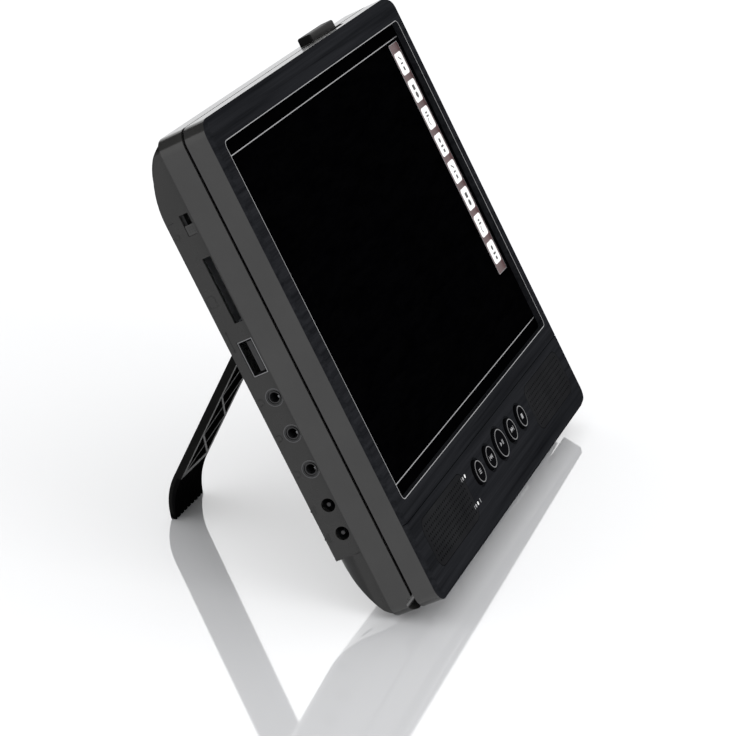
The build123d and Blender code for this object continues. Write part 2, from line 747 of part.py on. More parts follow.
with BuildPart() as lcd_panel:
    with BuildSketch(Plane.XY.offset(CELL_Z)):
        with Locations((0, WINDOW_Y)):
            Rectangle(LCD_W, LCD_H)
    extrude(amount=-CELL_T)
pieces["lcd_panel"] = lcd_panel

with BuildPart() as backlight_unit:
    with BuildSketch(Plane.XY.offset(BACKLIGHT_Z)):
        with Locations((0, WINDOW_Y)):
            Rectangle(LCD_W, LCD_H)
    extrude(amount=-BACKLIGHT_T)
pieces["backlight_unit"] = backlight_unit

with BuildPart() as control_bezel:
    faceplate(LOW_Y - OVER, PART_LINE_Y - PART_GAP / 2)
    screw_bosses(PANEL_SCREWS)
    # Seats for the grilles: a step at the front, and a hole behind it.
    with BuildSketch(Plane.XY):
        for side in (-1, 1):
            with Locations((side * GRILLE_X, GRILLE_Y)):
                RectangleRounded(
                    GRILLE_W + 2 * GRILLE_CLEAR, GRILLE_H + 2 * GRILLE_CLEAR, GRILLE_R
                )
    extrude(amount=-GRILLE_T, mode=Mode.SUBTRACT)
    with BuildSketch(Plane.XY):
        for side in (-1, 1):
            with Locations((side * GRILLE_X, GRILLE_Y)):
                RectangleRounded(
                    GRILLE_W - 2 * GRILLE_LAND, GRILLE_H - 2 * GRILLE_LAND, GRILLE_R - GRILLE_LAND
                )
    extrude(amount=-BEVEL, mode=Mode.SUBTRACT)
    # A shallow dish and a hole for each button.
    for name, step in BUTTON_STEPS.items():
        radius = SMALL_BUTTON_R if step else LARGE_BUTTON_R
        with BuildSketch(Plane.XY):
            with Locations((BUTTON_X + step * BUTTON_PITCH, BUTTON_Y)):
                Circle(radius + BUTTON_DISH)
        extrude(amount=-DISH_DEPTH, taper=DISH_TAPER, mode=Mode.SUBTRACT)
        with BuildSketch(Plane.XY):
            with Locations((BUTTON_X + step * BUTTON_PITCH, BUTTON_Y)):
                Circle(radius + BUTTON_CLEAR)
        extrude(amount=-BEVEL, mode=Mode.SUBTRACT)
    with BuildSketch(Plane.XY):
        with Locations(*[(INDICATOR_X, y) for y in INDICATOR_Y]):
            Circle(INDICATOR_R + SCREW_CLEAR)
    extrude(amount=-BEVEL, mode=Mode.SUBTRACT)
pieces["control_bezel"] = control_bezel

with BuildPart() as indicator_lights:
    with BuildSketch(Plane.XY.offset(-BEVEL)):
        with Locations(*[(INDICATOR_X, y) for y in INDICATOR_Y]):
            Circle(INDICATOR_R)
    extrude(amount=BEVEL)
pieces["indicator_lights"] = indicator_lights

for name, side in (("left", -1), ("right", 1)):
    with BuildPart() as grille:
        with BuildSketch(Plane.XY.offset(-GRILLE_T)):
            with Locations((side * GRILLE_X, GRILLE_Y)):
                RectangleRounded(GRILLE_W, GRILLE_H, GRILLE_R)
                columns = int((GRILLE_W - 2 * GRILLE_LAND) / GRILLE_PITCH)
                rows = int((GRILLE_H - 2 * GRILLE_LAND) / GRILLE_PITCH)
                with GridLocations(GRILLE_PITCH, GRILLE_PITCH, columns, rows):
                    Circle(GRILLE_HOLE_R, mode=Mode.SUBTRACT)
        extrude(amount=GRILLE_T)
    pieces["speaker_grille_" + name] = grille

    basket_z = SPEAKER_Z - SPEAKER_RIM_T - SPEAKER_BASKET_T
    with BuildPart() as speaker:
        with BuildSketch(Plane.XY.offset(SPEAKER_Z)):
            speaker_outline(side)
        extrude(amount=-SPEAKER_RIM_T)
        with BuildSketch(Plane.XY.offset(SPEAKER_Z - SPEAKER_RIM_T)):
            speaker_outline(side, SPEAKER_RIM_W)
        extrude(amount=-SPEAKER_BASKET_T)
        with BuildSketch(Plane.XY.offset(SPEAKER_Z)):
            speaker_outline(side, BASKET_IN)
        extrude(amount=-SPEAKER_RIM_T - SPEAKER_BASKET_T / 2, mode=Mode.SUBTRACT)
        with BuildSketch(Plane.XY.offset(basket_z)):
            with Locations((side * GRILLE_X, GRILLE_Y)):
                Circle(MAGNET_R)
        extrude(amount=-MAGNET_T)
    pieces["speaker_" + name] = speaker

    with BuildPart() as cone:
        with BuildSketch(Plane.XY.offset(SPEAKER_Z - SPEAKER_RIM_T)):
            speaker_outline(side, CONE_IN)
        extrude(amount=-CONE_T)
        with BuildSketch(Plane.XY.offset(SPEAKER_Z - SPEAKER_RIM_T)):
            with Locations((side * GRILLE_X, GRILLE_Y)):
                Circle(CONE_CAP_R)
        extrude(amount=CONE_CAP_T, taper=CONE_CAP_TAPER)
    pieces["speaker_cone_" + name] = cone

with BuildPart() as display_board:
    with BuildSketch(Plane.XY.offset(DISPLAY_BOARD_Z)):
        with Locations((0, DISPLAY_BOARD_LOW)):
            Rectangle(
                DISPLAY_BOARD_W,
                DISPLAY_BOARD_HIGH - DISPLAY_BOARD_LOW,
                align=(Align.CENTER, Align.MIN),
            )
    extrude(amount=-BOARD_T)
pieces["display_board"] = display_board

with BuildPart() as tact_switches:
    with BuildSketch(Plane.XY.offset(DISPLAY_BOARD_Z)):
        for step in BUTTON_STEPS.values():
            with Locations((BUTTON_X + step * BUTTON_PITCH, BUTTON_Y)):
                RectangleRounded(SWITCH_SIZE, SWITCH_SIZE, SWITCH_CORNER_R)
    extrude(amount=SWITCH_T)
pieces["tact_switches"] = tact_switches

pieces["display_screws"] = screw_group(
    SCREEN_SCREWS + PANEL_SCREWS,
    FRONT_BACK_Z + SCREW_HEAD_T + HEAD_CLEAR,
    FRONT_BACK_Z + HEAD_CLEAR,
    -BEVEL - SCREW_TIP_GAP,
)

with BuildPart() as latch_catch:
    with BuildSketch(Plane.YZ.offset(LATCH_X - CATCH_W / 2)):
        with Locations((CATCH_Y, FRONT_BACK_Z)):
            Rectangle(CATCH_FOOT_W, CATCH_FOOT_T, align=(Align.CENTER, Align.MAX))
            Rectangle(CATCH_T, CATCH_L, align=(Align.CENTER, Align.MAX))
        with Locations((CATCH_Y + CATCH_T / 2, CATCH_END_Z)):
            Rectangle(CATCH_LIP_W, CATCH_T, align=(Align.MAX, Align.MIN))
    extrude(amount=CATCH_W)
pieces["latch_catch"] = latch_catch

for name, step in BUTTON_STEPS.items():
    radius = SMALL_BUTTON_R if step else LARGE_BUTTON_R
    with BuildPart() as button:
        with BuildSketch(Plane.XY.offset(FLANGE_Z)):
            with Locations((BUTTON_X + step * BUTTON_PITCH, BUTTON_Y)):
                Circle(radius)
        extrude(amount=BUTTON_PROUD - FLANGE_Z)
        fillet(button.edges().group_by(Axis.Z)[-1], BUTTON_PROUD / 2)
        with BuildSketch(Plane.XY.offset(FLANGE_Z)):
            with Locations((BUTTON_X + step * BUTTON_PITCH, BUTTON_Y)):
                Circle(radius + FLANGE_LIP)
        extrude(amount=-FLANGE_T)
        with BuildSketch(Plane.XY.offset(FLANGE_Z)):
            with Locations((BUTTON_X + step * BUTTON_PITCH, BUTTON_Y)):
                Circle(STEM_R)
        stem_end = DISPLAY_BOARD_Z + SWITCH_T + BUTTON_TRAVEL + LAYER_GAP
        extrude(amount=stem_end - FLANGE_Z)
    pieces["button_" + name] = button

with BuildPart() as display_hinge_pins:
    for place in HINGE_PLACES:
        with BuildSketch(Plane.YZ.offset(place - HINGE_HALF)):
            with Locations((HINGE_Y, HINGE_Z)):
                Circle(HINGE_PIN_R)
        extrude(amount=2 * HINGE_HALF)
pieces["display_hinge_pins"] = display_hinge_pins

# ---------------------------------------------------------------- disc half: deck

with BuildPart() as deck_casing:
    with BuildSketch(Plane.XY.offset(SEAM_Z)):
        casing_outline()
    extrude(amount=BAND_DEPTH)
    with BuildSketch(Plane.XY.offset(SEAM_Z)):
        casing_outline(WALL)
    extrude(amount=BAND_DEPTH, mode=Mode.SUBTRACT)
    with BuildSketch(Plane.XY.offset(DECK_UNDER_Z)):
        casing_outline(WALL / 2)
    extrude(amount=DECK_PLATE_T)
    # Posts for the case screws, studs for the drive, and the walls of the disc well.
    with BuildSketch(Plane.XY.offset(SEAM_Z)):
        with Locations(*CASE_SCREWS):
            Circle(POST_R)
    extrude(amount=DECK_UNDER_Z - SEAM_Z)
    with BuildSketch(Plane.XY.offset(STUD_Z)):
        with Locations(*BUSHES):
            Circle(STUD_R)
    extrude(amount=DECK_UNDER_Z - STUD_Z)
    with BuildSketch(Plane.XY.offset(WELL_UNDER_Z)):
        well_outline(WELL_WALL)
    extrude(amount=DECK_TOP_Z - WELL_UNDER_Z)
    with BuildSketch(Plane.XY.offset(WELL_TOP_Z)):
        well_outline()
    extrude(amount=DECK_TOP_Z - WELL_TOP_Z, mode=Mode.SUBTRACT)
    for places, low_z, high_z in (
        (CASE_SCREWS, SEAM_Z, DECK_UNDER_Z - POST_CAP),
        (BUSHES, STUD_Z, WELL_UNDER_Z - STUD_CAP),
    ):
        with BuildSketch(Plane.XY.offset(low_z)):
            with Locations(*places):
                Circle(SCREW_R + SCREW_CLEAR)
        extrude(amount=high_z - low_z, mode=Mode.SUBTRACT)
    # Openings in the floor of the well for the turntable and for the lens.
    with BuildSketch(Plane.XY.offset(WELL_UNDER_Z)):
        with Locations((WELL_X, WELL_Y)):
            Circle(TABLE_HOLE_R)
            Rectangle(LENS_SLOT_W, SLED_OUT + LENS_SLOT_END, align=(Align.CENTER, Align.MAX))
    extrude(amount=WELL_FLOOR, mode=Mode.SUBTRACT)
    # Rail along the lower edge, hollowed so that the display half can turn in it.
    with BuildSketch(Plane.YZ.offset(-OUTER_W / 2)):
        with Locations((LOW_Y + WALL / 2, RAIL_Z)):
            Rectangle(
                RAIL_Y - LOW_Y - WALL / 2, DECK_TOP_Z - RAIL_Z, align=(Align.MIN, Align.MIN)
            )
    extrude(amount=OUTER_W)
    with BuildSketch(Plane.XY.offset(SEAM_Z)):
        casing_outline()
    extrude(amount=BAND_DEPTH, mode=Mode.INTERSECT)
    with BuildSketch(Plane.YZ.offset(-OUTER_W / 2)):
        with Locations((HINGE_Y, HINGE_Z)):
            Circle(RELIEF_R)
    extrude(amount=OUTER_W, mode=Mode.SUBTRACT)
    # Two knuckles beside each knuckle of the display half.
    for place in HINGE_PLACES:
        for side in (-1, 1):
            middle = place + side * (HINGE_HALF - REAR_KNUCKLE / 2)
            with BuildSketch(Plane.YZ.offset(middle - REAR_KNUCKLE / 2)):
                with Locations((HINGE_Y, HINGE_Z)):
                    Circle(KNUCKLE_R)
                    with Locations((KNUCKLE_WEB_LOW, -RELIEF_R - RAIL_W / 2)):
                        Rectangle(
                            KNUCKLE_R - KNUCKLE_WEB_LOW,
                            RELIEF_R + RAIL_W / 2,
                            align=(Align.MIN, Align.MIN),
                        )
                    Circle(HINGE_PIN_R + SCREW_CLEAR, mode=Mode.SUBTRACT)
            extrude(amount=REAR_KNUCKLE)
    # Slot in the top edge for the release button, the bay behind it, and the spring's rest.
    with BuildSketch(Plane.XZ.offset(-HIGH_Y)):
        with Locations((LATCH_X, LATCH_Z)):
            RectangleRounded(LATCH_W + 2 * LATCH_CLEAR, LATCH_DEPTH + 2 * LATCH_CLEAR, LATCH_R)
    extrude(amount=WALL, mode=Mode.SUBTRACT)
    with BuildSketch(Plane.XY.offset(DECK_UNDER_Z)):
        with Locations((LATCH_X, INNER_HIGH_Y)):
            Rectangle(
                LATCH_W + 2 * LATCH_LIP + 2 * LATCH_CLEAR,
                LATCH_BAY,
                align=(Align.CENTER, Align.MAX),
            )
    extrude(amount=DECK_PLATE_T, mode=Mode.SUBTRACT)
    port_box(
        SPRING_END,
        SPRING_END + SPRING_REST_L,
        SPRING_Y - SPRING_T / 2 - SPRING_REST_GAP - SPRING_REST_T / 2,
        SPRING_REST_T,
        LATCH_Z - SPRING_H,
        DECK_UNDER_Z,
    )
pieces["deck_casing"] = deck_casing

# ---------------------------------------------------------------- disc half: release button

with BuildPart() as release_button:
    with BuildSketch(Plane.XZ.offset(-LATCH_FOOT_Y)):
        with Locations((LATCH_X, LATCH_Z)):
            RectangleRounded(LATCH_W, LATCH_DEPTH, LATCH_R)
    extrude(amount=LATCH_FOOT_Y - HIGH_Y - LATCH_PROUD)
    fillet(release_button.edges().group_by(Axis.Y)[-1], LATCH_R)
    with BuildSketch(Plane.XZ.offset(-HIGH_Y - LATCH_PROUD)):
        with Locations((LATCH_X, LATCH_Z)):
            with GridLocations(LATCH_W / (LATCH_RIBS + 1), 1, LATCH_RIBS, 1):
                Rectangle(LATCH_GRIP, LATCH_DEPTH - 2 * LATCH_R)
    extrude(amount=LATCH_GRIP / 2, mode=Mode.SUBTRACT)
    with BuildSketch(Plane.XZ.offset(-LATCH_FOOT_Y)):
        with Locations((LATCH_X, LATCH_Z)):
            Rectangle(LATCH_W + 2 * LATCH_LIP, LATCH_DEPTH)
    extrude(amount=LATCH_FOOT_Y - INNER_HIGH_Y + LATCH_CLEAR / 2)
    # Stem behind the catch, with a hook that reaches under the catch's lip.
    with BuildSketch(Plane.YZ.offset(LATCH_X - CATCH_W / 2)):
        with Locations((LATCH_FOOT_Y, HOOK_Z)):
            Rectangle(LATCH_FOOT_Y - HOOK_Y, CATCH_T, align=(Align.MAX, Align.MAX))
        with Locations((HOOK_Y, HOOK_Z - CATCH_T)):
            Rectangle(CATCH_T, HOOK_H, align=(Align.MIN, Align.MIN))
        with Locations((HOOK_Y, HOOK_Z - CATCH_T + HOOK_H)):
            Rectangle(HOOK_LIP_W, HOOK_LIP_T, align=(Align.MIN, Align.MAX))
    extrude(amount=CATCH_W)
pieces["release_button"] = release_button

with BuildPart() as latch_spring:
    port_box(
        SPRING_START,
        SPRING_END + SPRING_REST_L,
        SPRING_Y,
        SPRING_T,
        LATCH_Z - SPRING_H / 2,
        LATCH_Z + SPRING_H / 2,
    )
pieces["latch_spring"] = latch_spring

# ---------------------------------------------------------------- disc half: back cover

with BuildSketch() as arm_side:
    heel_r = STAND_HUB_R + HEEL_SHARE * STAND_CLEAR
    heel = sqrt(heel_r**2 - STAND_OUT**2) - STAND_CLEAR / 2
    tip = (STAND_TIP_A, STAND_TIP_B)
    tip_in = (
        STAND_TIP_A - STAND_TIP_T * sin(radians(TIP_TURN)),
        STAND_TIP_B - STAND_TIP_T * cos(radians(TIP_TURN)),
    )
    with BuildLine():
        Polyline((0, -STAND_IN), (-heel, STAND_OUT), (STAND_STRAIGHT, STAND_OUT))
        TangentArc((STAND_STRAIGHT, STAND_OUT), tip, tangent=(1, 0))
        Line(tip, tip_in)
        TangentArc((STAND_STRAIGHT, -STAND_IN), tip_in, tangent=(1, 0))
        Line((STAND_STRAIGHT, -STAND_IN), (0, -STAND_IN))
    make_face()
    Circle(STAND_HUB_R)

with BuildSketch() as toe_skin:
    drop = STAND_OUT - STAND_TIP_B
    toe_reach = STAND_TIP_A - STAND_STRAIGHT
    toe_radius = (toe_reach**2 + drop**2) / (2 * drop)
    with Locations((STAND_STRAIGHT, STAND_OUT - toe_radius)):
        Circle(toe_radius)
        Circle(toe_radius - TOE_CORE, mode=Mode.SUBTRACT)
    with Locations((STAND_STRAIGHT, STAND_OUT)):
        Rectangle(
            toe_reach - STAND_TIP_T, 2 * drop, align=(Align.MIN, Align.MAX), mode=Mode.INTERSECT
        )

with BuildPart() as stand_pocket:
    with BuildSketch(FOLDED.offset(-STAND_CLEAR)):
        offset(arm_side.sketch, STAND_CLEAR, kind=Kind.INTERSECTION)
        with BuildLine():
            Polyline(
                (-STAND_HUB_R - STAND_CLEAR, 0),
                (STAND_STRAIGHT, 0),
                (STAND_TIP_A + STAND_CLEAR, STAND_TIP_B),
                (STAND_TIP_A + STAND_CLEAR, COVER_DEPTH),
                (-STAND_HUB_R - STAND_CLEAR, COVER_DEPTH),
                close=True,
            )
        make_face()
    extrude(amount=STAND_W + 2 * STAND_CLEAR)

with BuildPart() as stand_trough:
    with BuildSketch(FOLDED.offset(-STAND_CLEAR - TROUGH_WALL)):
        offset(arm_side.sketch, STAND_CLEAR + TROUGH_WALL, kind=Kind.INTERSECTION)
    extrude(amount=STAND_W + 2 * STAND_CLEAR + 2 * TROUGH_WALL)
    with BuildSketch(FOLDED.offset(-STAND_CLEAR - TROUGH_WALL)):
        with Locations((-STAND_HUB_R - STAND_CLEAR - TROUGH_WALL, 0)):
            Rectangle(STAND_STRAIGHT, COVER_DEPTH, align=(Align.MIN, Align.MIN))
    extrude(amount=STAND_W + 2 * STAND_CLEAR + 2 * TROUGH_WALL)
    with BuildSketch(FOLDED.offset(-STAND_CLEAR - CHEEK)):
        Circle(STAND_HUB_R + STAND_CLEAR + TROUGH_WALL)
    extrude(amount=STAND_W + 2 * STAND_CLEAR + 2 * CHEEK)
    add(cover_solid(0), mode=Mode.INTERSECT)

with BuildPart() as cover_posts:
    with BuildSketch(Plane.XY.offset(BACK_Z)):
        with Locations(*CASE_SCREWS):
            Circle(SCREW_HEAD_R + HEAD_CLEAR + POST_WALL)
    extrude(amount=SEAM_Z - BACK_Z)
    with BuildSketch(Plane.XY.offset(BACK_Z)):
        with Locations(*BOARD_SCREWS):
            Circle(BOSS_R)
    extrude(amount=MAIN_BOARD_Z - MAIN_BOARD_T - BACK_Z)
    add(cover_solid(0), mode=Mode.INTERSECT)

with BuildPart() as back_cover:
    add(cover_solid(0))
    add(port_blocks(0, SEAM_Z - PORT_DEPTH))
    # Flat sides where the ports are, and a rim that closes the seam.
    with BuildSketch(Plane.XY.offset(SEAM_Z)):
        with Locations((0, PORT_LOW)):
            Rectangle(2 * OUTER_W, OUTER_H, align=(Align.CENTER, Align.MIN))
            Rectangle(-2 * PORT_X, OUTER_H, align=(Align.CENTER, Align.MIN), mode=Mode.SUBTRACT)
    extrude(amount=-COVER_DEPTH, mode=Mode.SUBTRACT)
    with BuildSketch(Plane.XY.offset(SEAM_Z)):
        casing_outline(RIM_STEP)
    extrude(amount=-RIM_T)
    add(cover_solid(WALL), mode=Mode.SUBTRACT)
    add(port_blocks(PORT_WALL, PORT_FLOOR_Z), mode=Mode.SUBTRACT)
    add(cover_posts.part)
    add(stand_trough.part)
    add(stand_pocket.part, mode=Mode.SUBTRACT)
    # Kickstand pin, case screws and board screws.
    with BuildSketch(FOLDED.offset(-STAND_CLEAR - CHEEK)):
        Circle(STAND_PIN_R + SCREW_CLEAR)
    extrude(amount=STAND_W + 2 * STAND_CLEAR + 2 * CHEEK, mode=Mode.SUBTRACT)
    with BuildSketch(Plane.XY.offset(CASE_SEAT_Z)):
        with Locations(*CASE_SCREWS):
            Circle(SCREW_HEAD_R + HEAD_CLEAR)
    extrude(amount=BACK_Z - CASE_SEAT_Z, mode=Mode.SUBTRACT)
    with BuildSketch(Plane.XY.offset(CASE_SEAT_Z)):
        with Locations(*CASE_SCREWS):
            Circle(SCREW_R + HEAD_CLEAR)
    extrude(amount=SEAM_Z - CASE_SEAT_Z, mode=Mode.SUBTRACT)
    with BuildSketch(Plane.XY.offset(MAIN_BOARD_Z - MAIN_BOARD_T)):
        with Locations(*BOARD_SCREWS):
            Circle(SCREW_R + SCREW_CLEAR)
    extrude(amount=-BOARD_SCREW_L, mode=Mode.SUBTRACT)
    # Port openings in the left wall.
    port_opening(
        PORT_X,
        PORT_INNER_X,
        USB_Y,
        USB_Z,
        USB_SHELL_W + 2 * PORT_CLEAR,
        USB_SHELL_H + 2 * PORT_CLEAR,
    )
    port_opening(PORT_X, PORT_INNER_X, CARD_Y, CARD_Z, CARD_W, CARD_H)
    port_opening(PORT_X, PORT_INNER_X, SLOT_Y, SLOT_Z, SLOT_W, SLOT_H)
    with BuildSketch(Plane.YZ.offset(PORT_X)):
        with Locations(*[(y, AUDIO_Z) for y in AUDIO_Y]):
            Circle(AUDIO_RING_R + PORT_CLEAR)
        with Locations(*[(y, DC_Z) for y in DC_Y]):
            Circle(DC_HOLE_R)
    extrude(amount=PORT_WALL, mode=Mode.SUBTRACT)
pieces["back_cover"] = back_cover

pieces["case_screws"] = screw_group(
    CASE_SCREWS, CASE_SEAT_Z, CASE_SEAT_Z - SCREW_HEAD_T, SEAM_Z + CASE_SCREW_REACH
)

with BuildPart() as standing_feet:
    slope = sin(radians(LEAN)) / cos(radians(LEAN))
    floor_y = -FLOOR_DROP / cos(radians(LEAN))
    for side in (-1, 1):
        with BuildSketch(Plane.YZ.offset(side * FOOT_X - FOOT_W / 2)):
            with BuildLine():
                Polyline(
                    (LOW_Y, SEAM_Z + FOOT_EDGE),
                    (LOW_Y, SEAM_Z + FOOT_EDGE + FOOT_D),
                    (floor_y - slope * (SEAM_Z + FOOT_EDGE + FOOT_D), SEAM_Z + FOOT_EDGE + FOOT_D),
                    (floor_y - slope * (SEAM_Z + FOOT_EDGE), SEAM_Z + FOOT_EDGE),
                    close=True,
                )
            make_face()
        extrude(amount=FOOT_W)
pieces["standing_feet"] = standing_feet

# ---------------------------------------------------------------- kickstand

with BuildPart() as kickstand:
    with BuildSketch(DEPLOYED):
        add(arm_side.sketch)
        with Locations((STAND_STRAIGHT, 0)):
            Rectangle(
                toe_reach + OVER, 4 * drop, align=(Align.MIN, Align.CENTER), mode=Mode.SUBTRACT
            )
        add(toe_skin.sketch)
        Circle(STAND_PIN_R + STAND_PIN_CLEAR, mode=Mode.SUBTRACT)
    extrude(amount=STAND_W)
    # Crossed ribs in the hollow under side.
    cell = (STAND_STRAIGHT - 3 * STAND_HUB_R) / STAND_CELLS
    web = STAND_W - 2 * STAND_EDGE
    under = Plane(
        origin=DEPLOYED.from_local_coords((2 * STAND_HUB_R, -STAND_IN, STAND_W / 2)),
        x_dir=DEPLOYED.x_dir,
        z_dir=-DEPLOYED.y_dir,
    )
    with BuildSketch(under):
        Rectangle(cell * STAND_CELLS, web, align=(Align.MIN, Align.CENTER))
        for index in range(STAND_CELLS):
            with Locations((cell * (index + 0.5), 0)):
                for turn in (-1, 1):
                    Rectangle(
                        hypot(cell, web) + 2 * OVER,
                        STAND_RIB,
                        rotation=turn * degrees(atan2(web, cell)),
                        mode=Mode.SUBTRACT,
                    )
    extrude(amount=-STAND_WEB_CUT, mode=Mode.SUBTRACT)
pieces["kickstand"] = kickstand

with BuildPart() as stand_foot:
    with BuildSketch(DEPLOYED):
        add(arm_side.sketch)
        with Locations((STAND_STRAIGHT, 0)):
            Rectangle(
                toe_reach + OVER, 4 * drop, align=(Align.MIN, Align.CENTER), mode=Mode.INTERSECT
            )
        add(toe_skin.sketch, mode=Mode.SUBTRACT)
    extrude(amount=STAND_W)
    for index in range(FLUTE_COUNT):
        start = STAND_W * (index + 0.5) / FLUTE_COUNT - FLUTE_W / 2
        with BuildSketch(DEPLOYED.offset(start)):
            add(arm_side.sketch)
            with Locations((STAND_STRAIGHT + FLUTE_START, 0)):
                Rectangle(
                    toe_reach, 4 * drop, align=(Align.MIN, Align.CENTER), mode=Mode.INTERSECT
                )
            offset(arm_side.sketch, -FLUTE_DEPTH, mode=Mode.SUBTRACT)
        extrude(amount=FLUTE_W, mode=Mode.SUBTRACT)
pieces["stand_foot"] = stand_foot

with BuildPart() as stand_pin:
    with BuildSketch(FOLDED.offset(-STAND_CLEAR - CHEEK + STAND_PIN_END)):
        Circle(STAND_PIN_R)
    extrude(amount=STAND_W + 2 * (STAND_CLEAR + CHEEK - STAND_PIN_END))
pieces["stand_pin"] = stand_pin

# ---------------------------------------------------------------- ports

with BuildPart() as port_board:
    with BuildSketch(Plane.XY.offset(PORT_FLOOR_Z)):
        with Locations((PORT_INNER_X + BOARD_GAP, PORT_LOW + PORT_WALL + BOARD_GAP)):
            Rectangle(PORT_BOARD_W, PORT_BOARD_L, align=(Align.MIN, Align.MIN))
    extrude(amount=BOARD_T)
pieces["port_board"] = port_board

with BuildPart() as usb_port:
    usb_top = USB_Z + USB_SHELL_H / 2
    usb_back = PORT_X + USB_L
    port_box(PORT_X + PORT_INSET, usb_back, USB_Y, USB_SHELL_W, USB_Z - USB_SHELL_H / 2, usb_top)
    port_box(PORT_INNER_X, usb_back, USB_Y, USB_SHELL_W, PORT_BOARD_Z, USB_Z)
    port_opening(PORT_X + PORT_INSET, usb_back - USB_BACK, USB_Y, USB_Z, USB_W, USB_H)
pieces["usb_port"] = usb_port

with BuildPart() as usb_tongue:
    port_box(
        PORT_X + TONGUE_IN,
        PORT_X + USB_L - USB_BACK,
        USB_Y,
        USB_W - 2 * TONGUE_SIDE,
        USB_Z + TONGUE_LIFT,
        USB_Z + TONGUE_LIFT + TONGUE_T,
    )
pieces["usb_tongue"] = usb_tongue

with BuildPart() as card_slot:
    card_end = PORT_INNER_X + CARD_L
    card_top = CARD_Z + CARD_H / 2 + CARD_LID
    card_width = CARD_W + 2 * CARD_WALL
    port_box(PORT_INNER_X, card_end + CARD_BACK, CARD_Y, card_width, PORT_BOARD_Z, card_top)
    port_opening(PORT_INNER_X, card_end, CARD_Y, CARD_Z, CARD_W, CARD_H)
pieces["card_slot"] = card_slot

for name, middle in zip(("headphone_jack_1", "headphone_jack_2", "video_jack"), AUDIO_Y):
    with BuildPart() as jack:
        jack_end = PORT_INNER_X + JACK_L
        port_box(PORT_INNER_X, jack_end, middle, AUDIO_BODY_W, PORT_BOARD_Z, AUDIO_Z + AUDIO_LID)
        with BuildSketch(Plane.YZ.offset(PORT_X + PORT_CLEAR)):
            with Locations((middle, AUDIO_Z)):
                Circle(AUDIO_RING_R)
        extrude(amount=PORT_WALL)
        with BuildSketch(Plane.YZ.offset(PORT_X)):
            with Locations((middle, AUDIO_Z)):
                Circle(AUDIO_GROOVE_R + AUDIO_GROOVE_W)
                Circle(AUDIO_GROOVE_R, mode=Mode.SUBTRACT)
        extrude(amount=2 * AUDIO_GROOVE_W, mode=Mode.SUBTRACT)
        with BuildSketch(Plane.YZ.offset(PORT_X)):
            with Locations((middle, AUDIO_Z)):
                Circle(AUDIO_BORE_R)
        extrude(amount=JACK_L, mode=Mode.SUBTRACT)
    pieces[name] = jack

for name, middle in zip(("power_jack", "battery_jack"), DC_Y):
    with BuildPart() as jack:
        jack_end = PORT_INNER_X + JACK_L
        port_box(PORT_INNER_X, jack_end, middle, DC_BODY_W, PORT_BOARD_Z, DC_Z + DC_LID)
        with BuildSketch(Plane.YZ.offset(PORT_INNER_X)):
            with Locations((middle, DC_Z)):
                Circle(DC_HOLE_R)
        extrude(amount=JACK_L - DC_BACK, mode=Mode.SUBTRACT)
        with BuildSketch(Plane.YZ.offset(PORT_X + DC_PIN_IN)):
            with Locations((middle, DC_Z)):
                Circle(DC_PIN_R)
        extrude(amount=JACK_L)
    pieces[name] = jack

with BuildPart() as switch_housing:
    slot_top = SLOT_Z + SLOT_H / 2 + SLOT_LID
    slot_width = SLOT_W + 2 * SLOT_WALL
    port_box(PORT_INNER_X, PORT_INNER_X + SLOT_L, SLOT_Y, slot_width, PORT_BOARD_Z, slot_top)
    port_opening(PORT_INNER_X, PORT_INNER_X + SLOT_DEPTH, SLOT_Y, SLOT_Z, SLOT_W, SLOT_H / 2)
pieces["switch_housing"] = switch_housing

with BuildPart() as power_switch:
    for start, end, width, half_height in (
        (PORT_X + PORT_INSET, PORT_INNER_X - PORT_CLEAR, KNOB_W, SLOT_H / 2),
        (
            PORT_INNER_X - PORT_CLEAR,
            PORT_INNER_X + SLOT_DEPTH - KNOB_STEM_END,
            KNOB_W - 2 * KNOB_SIDE,
            SLOT_H / 4,
        ),
    ):
        low_z = SLOT_Z - half_height + PORT_CLEAR
        high_z = SLOT_Z + half_height - PORT_CLEAR
        port_box(start, end, KNOB_Y, width, low_z, high_z)
    with BuildSketch(Plane.YZ.offset(PORT_X + PORT_INSET - KNOB_DOT_PROUD)):
        with Locations((KNOB_Y, SLOT_Z)):
            with GridLocations(KNOB_DOT_PITCH, KNOB_DOT_PITCH, 3, 3):
                Circle(KNOB_DOT_R)
    extrude(amount=KNOB_DOT_PROUD + KNOB_DOT_ROOT)
pieces["power_switch"] = power_switch

# ---------------------------------------------------------------- disc drive

